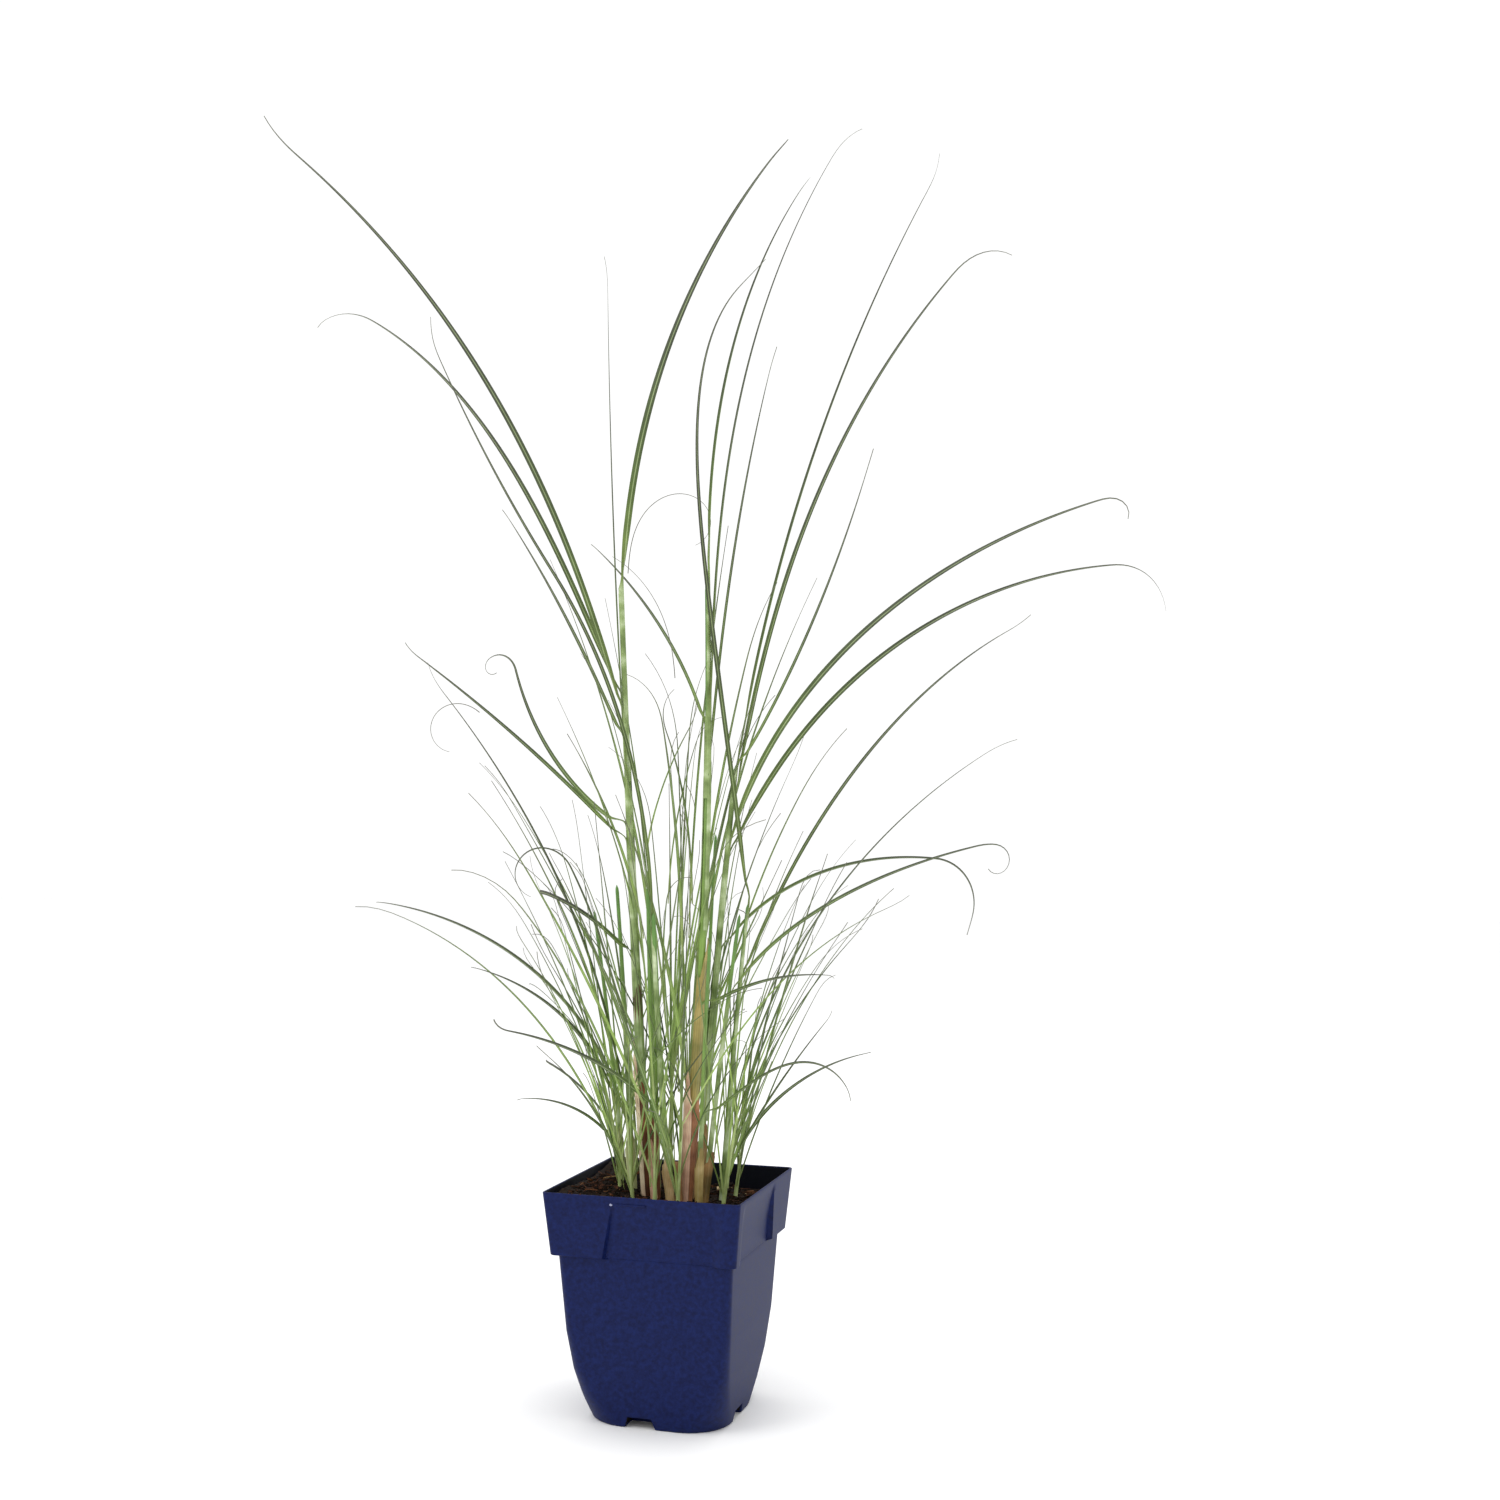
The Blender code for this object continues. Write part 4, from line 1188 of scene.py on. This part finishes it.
def wrap_surface(wrap):
    """Rings r * (cos a, sin a) about the culm, r growing by the flare, the top raised by cos(a) * point."""
    culm = CULMS[wrap.culm - 1]
    share = np.linspace(0, 1, WRAP_ROWS)[:, None]
    shares, layers = ring_shares(WRAP_COLUMNS)
    lift = wrap.point * 0.5 * (1 + np.cos(np.pi * np.clip(shares - 0.35, -1, 1)))
    ragged = 2.5 * value_noise(shares * 30 * MM, np.full_like(shares, wrap.low * MM), 5 * MM, wrap.high)
    height = (wrap.low + share * (wrap.high - wrap.point + lift + ragged - wrap.low)) * MM
    axis = culm_axis(culm, height)
    ripple = 0.25 * np.sin(5 * np.pi * shares) * share
    radius = culm_radius(culm, height) + (wrap.stand_off + wrap.flare * share**2 + ripple) * MM
    angle = np.radians(wrap.facing + wrap.half_turn * shares * (1 - 0.35 * share))
    spread = radius + layers * PAPER_THICKNESS
    ring = np.stack([np.cos(angle), np.sin(angle), np.zeros_like(angle)], axis=-1)
    points = axis + spread[..., None] * ring
    return points, height, np.broadcast_to(shares, height.shape)


def wraps_of(number, first):
    """All dry sheaths of one culm, as arrays that follow on from a count of points."""
    points, faces, along, across, dry, tone = [], [], [], [], [], []
    for wrap in WRAPS:
        if wrap.culm != number:
            continue
        shell, height, shares = wrap_surface(wrap)
        faces += strip_faces(1, WRAP_ROWS, shell.shape[1], first=first + sum(map(len, points)))
        points.append(shell.reshape(-1, 3))
        along.append(np.full(shares.size, 0.1))
        across.append(shares.ravel())
        dry.append(np.full(shares.size, wrap.dry))
        tone.append(np.full(shares.size, wrap.tone))
    return points, faces, along, across, dry, tone


# %% The stub of an old culm
STUB_CULM = 2
STUB_PLACE = (8.8 * MM, -12.2 * MM)
STUB_RADIUS = 2.2 * MM
STUB_HEIGHT = 25 * MM
STUB_SIDES = 20
STUB_RIM_ROW = 7


def stub_surface():
    """A cut stem: a circle carried up, over its rim and down into the hollow, closed at both ends."""
    rise = MM * np.array([-3, 5, 12, 18, 23, 24.6, 25, 24.6, 24, 22, 19])
    size = np.array([1.05, 1.0, 0.98, 1.0, 1.02, 1.0, 0.9, 0.78, 0.72, 0.7, 0.68]) * STUB_RADIUS
    angle = np.linspace(0, 2 * np.pi, STUB_SIDES, endpoint=False)
    slant = np.stack([np.zeros(STUB_SIDES), np.zeros(STUB_SIDES), 0.25 * np.sin(angle)], axis=-1)
    high = (rise / STUB_HEIGHT).clip(0, 1)[:, None, None] ** 4
    axis = np.array([*STUB_PLACE, SOIL_TOP]) + rise[:, None, None] * np.array([-0.06, 0.0, 1.0])
    return axis + size[:, None, None] * (level_circle(STUB_SIDES) + high * slant)


# %% [markdown]
# ## Culm pieces
#
# Each culm piece is its stem, joined with the dry sheaths that belong to it. The second culm also has
# the orange-brown stub of an older stem, cut off above the soil and hollow at its top.

# %% Culm pieces
for number, culm in enumerate(CULMS, 1):
    stem, stem_along, stem_across = culm_surface(culm)
    faces = strip_faces(1, stem.shape[0], stem.shape[1])
    count = stem[..., 0].size
    points, wrap_faces, along, across, dry, tone = wraps_of(number, count)
    if number == STUB_CULM:
        stub = stub_surface()
        first = count + sum(map(len, points))
        wrap_faces += strip_faces(1, stub.shape[0], STUB_SIDES, first=first)
        points.append(stub.reshape(-1, 3))
        along.append(np.full(stub[..., 0].size, 0.1))
        across.append(np.full(stub[..., 0].size, 0.5))
        dry.append(np.full(stub[..., 0].size, 0.9))
        # The rows down inside the hollow get the darkest tone, as painted shade in the hollow.
        tone.append(np.repeat(np.where(np.arange(len(stub)) > STUB_RIM_ROW, 0.0, 0.42), STUB_SIDES))
    make_piece(
        f"grass_culm_{number:02d}",
        np.concatenate([stem.reshape(-1, 3), *points]),
        faces + wrap_faces,
        stem_green,
        {
            "along": np.concatenate([stem_along.ravel(), *along]),
            "across": np.concatenate([stem_across.ravel(), *across]),
            "dry": np.concatenate([np.zeros(count), *dry]),
            "tone": np.concatenate([np.full(count, 0.5), *tone]),
            "age": 0.4,
            "sheath": 0.0,
        },
        node=f"culm_{number:02d}",
    )
print("culms made:", len(CULMS), "with", len(WRAPS), "dry sheaths")

# %% [markdown]
# ## Young shoots
#
# Round the foot of the clump stand tufts of fine young leaves. Each tuft is a short stem of rolled
# sheaths, pale at the soil, from which nine narrow blades rise and fan out. The blades of one tuft
# are one batch of arrays, so each tuft is a single mesh.

# %% Tufts of young leaves
TUFT_BLADES = 9
TUFT_ROWS = 34
TUFT_COLUMNS = 2
TUFT_SINKS = 2 * MM
TUFT_PATH_ROWS = 60
TUFT_STEM_SHARE = 0.3
TUFT_STEM_ROWS = 26
TUFT_STEM_SIDES = 10


def tuft_surface(shoot, draw):
    """The stem and the blades of one young shoot, as points, faces and attributes."""
    start = np.array([shoot.x * MM, shoot.y * MM, SOIL_TOP - TUFT_SINKS])
    share = np.linspace(0.0, 1.0, TUFT_PATH_ROWS)
    path = walk(start, shoot.heading, mix(shoot.lean_base, shoot.lean_tip, share), shoot.length * MM)
    stem_rows = np.linspace(0.0, TUFT_STEM_SHARE, TUFT_STEM_ROWS)
    stem_path = np.stack([np.interp(stem_rows, share, path[:, k]) for k in range(3)], axis=-1)
    stem_radius = mix(1.4, 0.4, np.linspace(0, 1, TUFT_STEM_ROWS) ** 0.8) * MM
    stem_radius[-1] = 0.05 * MM
    stem = tube_surface(stem_path, stem_radius, TUFT_STEM_SIDES)
    leave_at = np.sort(draw.uniform(0.08, 1.0, TUFT_BLADES)) * TUFT_STEM_SHARE
    starts = np.stack([np.interp(leave_at, share, path[:, k]) for k in range(3)], axis=-1)
    lean_there = mix(shoot.lean_base, shoot.lean_tip, leave_at)
    lean_base = lean_there + draw.uniform(1, 12, TUFT_BLADES)
    blades = Blades(
        starts,
        shoot.heading + draw.normal(0, 80, TUFT_BLADES),
        lean_base,
        lean_base + draw.gamma(2.0, 8.0, TUFT_BLADES),
        shoot.length * MM * draw.uniform(0.4, 1.15, TUFT_BLADES),
        draw.uniform(0.9, 1.8, TUFT_BLADES),
        draw.uniform(0.8, 1.7, TUFT_BLADES) * MM,
        np.full(TUFT_BLADES, 0.1),
        draw.uniform(-80, 80, TUFT_BLADES),
        draw.uniform(-90, 90, TUFT_BLADES),
        draw.uniform(0.75, 0.92, TUFT_BLADES),
        draw.normal(10, 25, TUFT_BLADES),
        draw.normal(0, 50, TUFT_BLADES),
    )
    points, along, across = blade_surface(blades, TUFT_ROWS, TUFT_COLUMNS)
    age = np.broadcast_to(draw.beta(0.6, 0.6, TUFT_BLADES)[:, None, None], along.shape)
    stem_faces = strip_faces(1, TUFT_STEM_ROWS, TUFT_STEM_SIDES)
    blade_faces = strip_faces(TUFT_BLADES, TUFT_ROWS, 2 * TUFT_COLUMNS, first=stem[..., 0].size)
    stem_along = np.linspace(-0.3, 0.1, TUFT_STEM_ROWS)[:, None] * np.ones(TUFT_STEM_SIDES)
    whole = {
        "along": np.concatenate([stem_along.ravel(), along.ravel()]),
        "across": np.concatenate([np.full(stem_along.size, 0.5), across.ravel()]),
        "age": np.concatenate([np.full(stem_along.size, 0.2), age.ravel()]),
        "dry": np.concatenate([np.zeros(stem_along.size), dryness(along, 0.8, 0.5).ravel()]),
        "sheath": np.concatenate([np.full(stem_along.size, 0.4), np.zeros(along.size)]),
        "tone": 0.6,
    }
    return np.concatenate([stem.reshape(-1, 3), points.reshape(-1, 3)]), stem_faces + blade_faces, whole


for number, shoot in enumerate(SHOOTS, 1):
    points, faces, attributes = tuft_surface(shoot, rng)
    make_piece(
        f"young_tuft_{number:02d}",
        points,
        faces,
        young_green,
        attributes,
        node=f"young_shoot_{number:02d}",
    )
print("tufts made:", len(SHOOTS), "with", TUFT_BLADES, "blades each")

# %% [markdown]
# ## Fine leaves among the culms
#
# Between the culms stand thin young leaves that belong to no tuft: some nearly straight, some with a
# tip that hooks over or curls into a thread. They are placed one by one, by how far to the right of the
# pot's middle and how far back they leave the clump, as seen from the camera.

# %% Fine leaves
Fine = namedtuple("Fine", "right up back heading lean_base lean_tip length bend width hook turn")
FINE_LEAVES = (
    Fine(-27, 3, 8, 190, 8, 29, 205, 0.7, 1.5, 0, 0),
    Fine(-24, 25, 2, 205, 4, 33, 232, 0.8, 1.5, 0, 0),
    Fine(-18, 60, 5, 192, 10, 36, 216, 0.7, 1.4, 10, 0),
    Fine(-30, 30, -3, 170, 8, 22, 205, 1.4, 1.3, 15, 0),
    Fine(-28, 20, 12, 178, 4, 6, 210, 1.0, 1.2, 0, 0),
    Fine(-16, 150, 6, 186, 9, 32, 128, 0.9, 1.7, 0, 0),
    Fine(-14, 120, 10, 200, 6, 26, 178, 0.8, 2.0, 0, 0),
    Fine(-22, 70, -5, 220, 5, 30, 150, 1.1, 1.3, 60, 40),
    Fine(-14, 200, -4, 8, 6, 34, 92, 0.8, 2.2, -30, 20),
    Fine(9, 60, -10, 200, 6, 22, 178, 1.2, 2.2, 0, 0),
    Fine(12, 170, 8, 186, 2, 28, 128, 1.6, 2.2, -80, 0),
    Fine(-2, 90, 5, 12, -6, 10, 104, 1.2, 1.8, 90, 0),
    Fine(0, 40, 12, 30, 1, 4, 250, 1.0, 1.6, 20, 60),
    Fine(4, 60, 16, 350, 0, 5, 262, 1.0, 1.4, 30, 90),
    Fine(6, 30, 20, 200, -1, 3, 290, 1.0, 1.5, 40, 30),
    Fine(2, 20, -14, 195, 2, 7, 250, 1.0, 1.7, 60, 50),
    Fine(-6, 30, 10, 200, 1, 8, 262, 1.0, 1.6, 30, 40),
    Fine(-12, 10, -10, 210, 2, 10, 214, 1.2, 1.5, 20, 30),
    Fine(16, 20, 10, 18, 3, 14, 240, 1.2, 1.8, 0, 0),
    Fine(18, 40, -10, 30, 4, 22, 190, 1.2, 1.6, 20, -40),
    Fine(24, 20, 4, 12, 6, 26, 200, 1.2, 1.7, 0, 0),
    Fine(28, 10, 12, 20, 8, 34, 215, 1.0, 1.5, 10, 0),
    Fine(30, 6, -6, 10, 10, 40, 175, 1.0, 1.5, 30, 20),
    Fine(26, 30, 16, 40, 12, 44, 180, 0.9, 1.4, 30, 30),
    Fine(20, 12, 22, 80, 6, 26, 230, 1.2, 1.6, 10, 0),
    Fine(-20, 12, 26, 140, 6, 26, 220, 1.2, 1.6, 10, 0),
    Fine(0, 8, 28, 110, 4, 20, 240, 1.2, 1.6, 10, 0),
    Fine(-8, 120, 14, 192, 3, 12, 230, 0.9, 1.8, 0, 0),
    Fine(-4, 110, -8, 200, 5, 18, 210, 1.0, 1.6, 20, 20),
    Fine(-10, 130, 8, 186, 4, 24, 250, 0.9, 1.7, 0, 0),
    Fine(10, 150, 12, 12, 2, 9, 240, 1.0, 1.8, 0, 0),
    Fine(14, 130, -6, 20, 4, 16, 230, 0.9, 1.7, 15, 0),
    Fine(16, 120, 16, 16, 6, 26, 250, 1.0, 1.6, 0, 0),
    Fine(12, 90, 20, 8, 3, 20, 210, 1.0, 1.7, 25, 30),
    Fine(6, 140, -12, 200, 1, 12, 170, 1.2, 1.7, 60, 0),
    Fine(-2, 170, 10, 14, 2, 22, 120, 1.0, 1.6, 70, 30),
    Fine(20, 60, 6, 24, 8, 34, 230, 1.1, 1.6, 10, 0),
)
FINE_ROWS = 48
FINE_RING = 4
FINE_TIP = 0.12
FINE_CURL_FROM = 0.78
VIEW_HEADING = np.degrees(CAMERA_TURN)


def table_columns(rows):
    """The fields of a table, each as one array."""
    return {key: np.array([getattr(row, key) for row in rows], float) for key in rows[0]._fields}


def feet(column):
    """Where each row starts: right * R + back * D from the pot's middle, and up from the soil."""
    across = direction(VIEW_HEADING, 90)
    away = direction(VIEW_HEADING + 90, 90)
    foot = column["right"][:, None] * across + column["back"][:, None] * away
    foot[:, 2] += SOIL_TOP / MM + column["up"]
    return foot * MM


def fine_blades(rows):
    """The table of fine leaves as one batch of blades."""
    column = table_columns(rows)
    count = len(rows)
    return Blades(
        feet(column), column["heading"], column["lean_base"], column["lean_tip"], column["length"] * MM,
        column["bend"], column["width"] * MM, np.full(count, FINE_TIP), rng.uniform(-70, 70, count),
        rng.uniform(-80, 80, count), np.full(count, FINE_CURL_FROM), column["hook"], column["turn"],
    )


points, along, across = blade_surface(fine_blades(FINE_LEAVES), FINE_ROWS, FINE_RING // 2)
fine_age = np.broadcast_to(rng.uniform(0.2, 0.8, len(FINE_LEAVES))[:, None, None], along.shape)
make_piece(
    "fine_leaves",
    points.reshape(-1, 3),
    strip_faces(len(FINE_LEAVES), FINE_ROWS, FINE_RING),
    young_green,
    {
        "along": along.ravel(),
        "across": across.ravel(),
        "age": fine_age.ravel(),
        "dry": dryness(along, 0.82, 0.5).ravel(),
        "sheath": 0.0,
        "tone": 0.5,
    },
)
print("fine leaves:", len(FINE_LEAVES))

# %% [markdown]
# ### Threads
#
# The longest dry tips end in hair-fine grey threads that loop in the air. Each is a short tube along a
# path of the same kind, whose lean runs on past upside down to make the loop.

# %% Threads
Thread = namedtuple("Thread", "right up back heading lean_base lean_tip length bend")
THREADS = (
    Thread(-25, 360, 2, 12, 4, 250, 104, 1.9),
    Thread(2, 300, 4, 200, 4, 60, 82, 1.4),
    Thread(-110, 280, 0, 198, 50, 260, 56, 1.2),
)
THREAD_RADIUS = 0.28 * MM
THREAD_ROWS = 60
THREAD_SIDES = 6


def thread_surface(threads):
    """Tubes about threads' paths: point + r * (side cos a + face sin a), finer towards the end."""
    column = table_columns(threads)
    heading, low, high, bend = (column[key][:, None] for key in ("heading", "lean_base", "lean_tip", "bend"))
    share = np.linspace(0, 1, THREAD_ROWS)[None, :]
    path = walk(feet(column), heading, mix(low, high, share**bend), column["length"] * MM)
    side, face = (way[..., None, :] for way in side_and_face(path, heading, 0.0))
    angle = np.linspace(0, 2 * np.pi, THREAD_SIDES, endpoint=False)[:, None]
    size = THREAD_RADIUS * (1 - 0.5 * share)[..., None, None]
    return path[..., None, :] + size * (np.cos(angle) * side + np.sin(angle) * face)


threads = thread_surface(THREADS)
make_piece(
    "dry_threads",
    threads.reshape(-1, 3),
    strip_faces(len(THREADS), THREAD_ROWS, THREAD_SIDES),
    young_green,
    {"along": 0.95, "across": 0.5, "age": 0.8, "dry": 0.3, "sheath": 0.0, "tone": 0.7},
)
print("threads:", len(THREADS))

# %% [markdown]
# ## The floor and the light
#
# The plant stands on a plain pale floor under an even studio light: a white surround and two large soft
# lamps. The floor is wide enough that its edge melts into the surround.

# %% Floor
FLOOR_HALF = 6.0
floor_white = new_material("matt_white_floor")
floor_finish = {"Base Color": linear("#FAFAFA"), "Roughness": 0.95}
finish_material(floor_white, add_node(floor_white, "ShaderNodeBsdfPrincipled", floor_finish))
floor_mesh = bpy.data.meshes.new("floor")
floor_corners = [(x * FLOOR_HALF, y * FLOOR_HALF, 0) for x, y in ((-1, -1), (1, -1), (1, 1), (-1, 1))]
floor_mesh.from_pydata(floor_corners, [], [(0, 1, 2, 3)])
floor_mesh.materials.append(floor_white)
floor = bpy.data.objects.new("floor", floor_mesh)
bpy.context.scene.collection.objects.link(floor)

# %% Lights
LAMP_SIZE = 1.0
SURROUND_STRENGTH = 1.05
PLANT_MIDDLE = (0.0, 0.0, 0.35)


def soft_lamp(name, place, power):
    """A square area lamp at a place, facing the middle of the plant."""
    data = bpy.data.lights.new(name, "AREA")
    data.shape = "SQUARE"
    data.size = LAMP_SIZE
    data.energy = power
    lamp = bpy.data.objects.new(name, data)
    bpy.context.scene.collection.objects.link(lamp)
    lamp.location = place
    lamp.rotation_euler = (Vector(PLANT_MIDDLE) - Vector(place)).to_track_quat("-Z", "Y").to_euler()


soft_lamp("key_lamp", (-1.0, -1.4, 1.9), power=12)
soft_lamp("top_lamp", (0.2, 0.1, 2.0), power=10)

world = bpy.data.worlds.new("white_surround")
world.use_nodes = True
surround = world.node_tree.nodes["Background"].inputs
surround["Color"].default_value = (1.0, 1.0, 1.0, 1.0)
surround["Strength"].default_value = SURROUND_STRENGTH
bpy.context.scene.world = world
bpy.context.scene.view_settings.view_transform = "Standard"
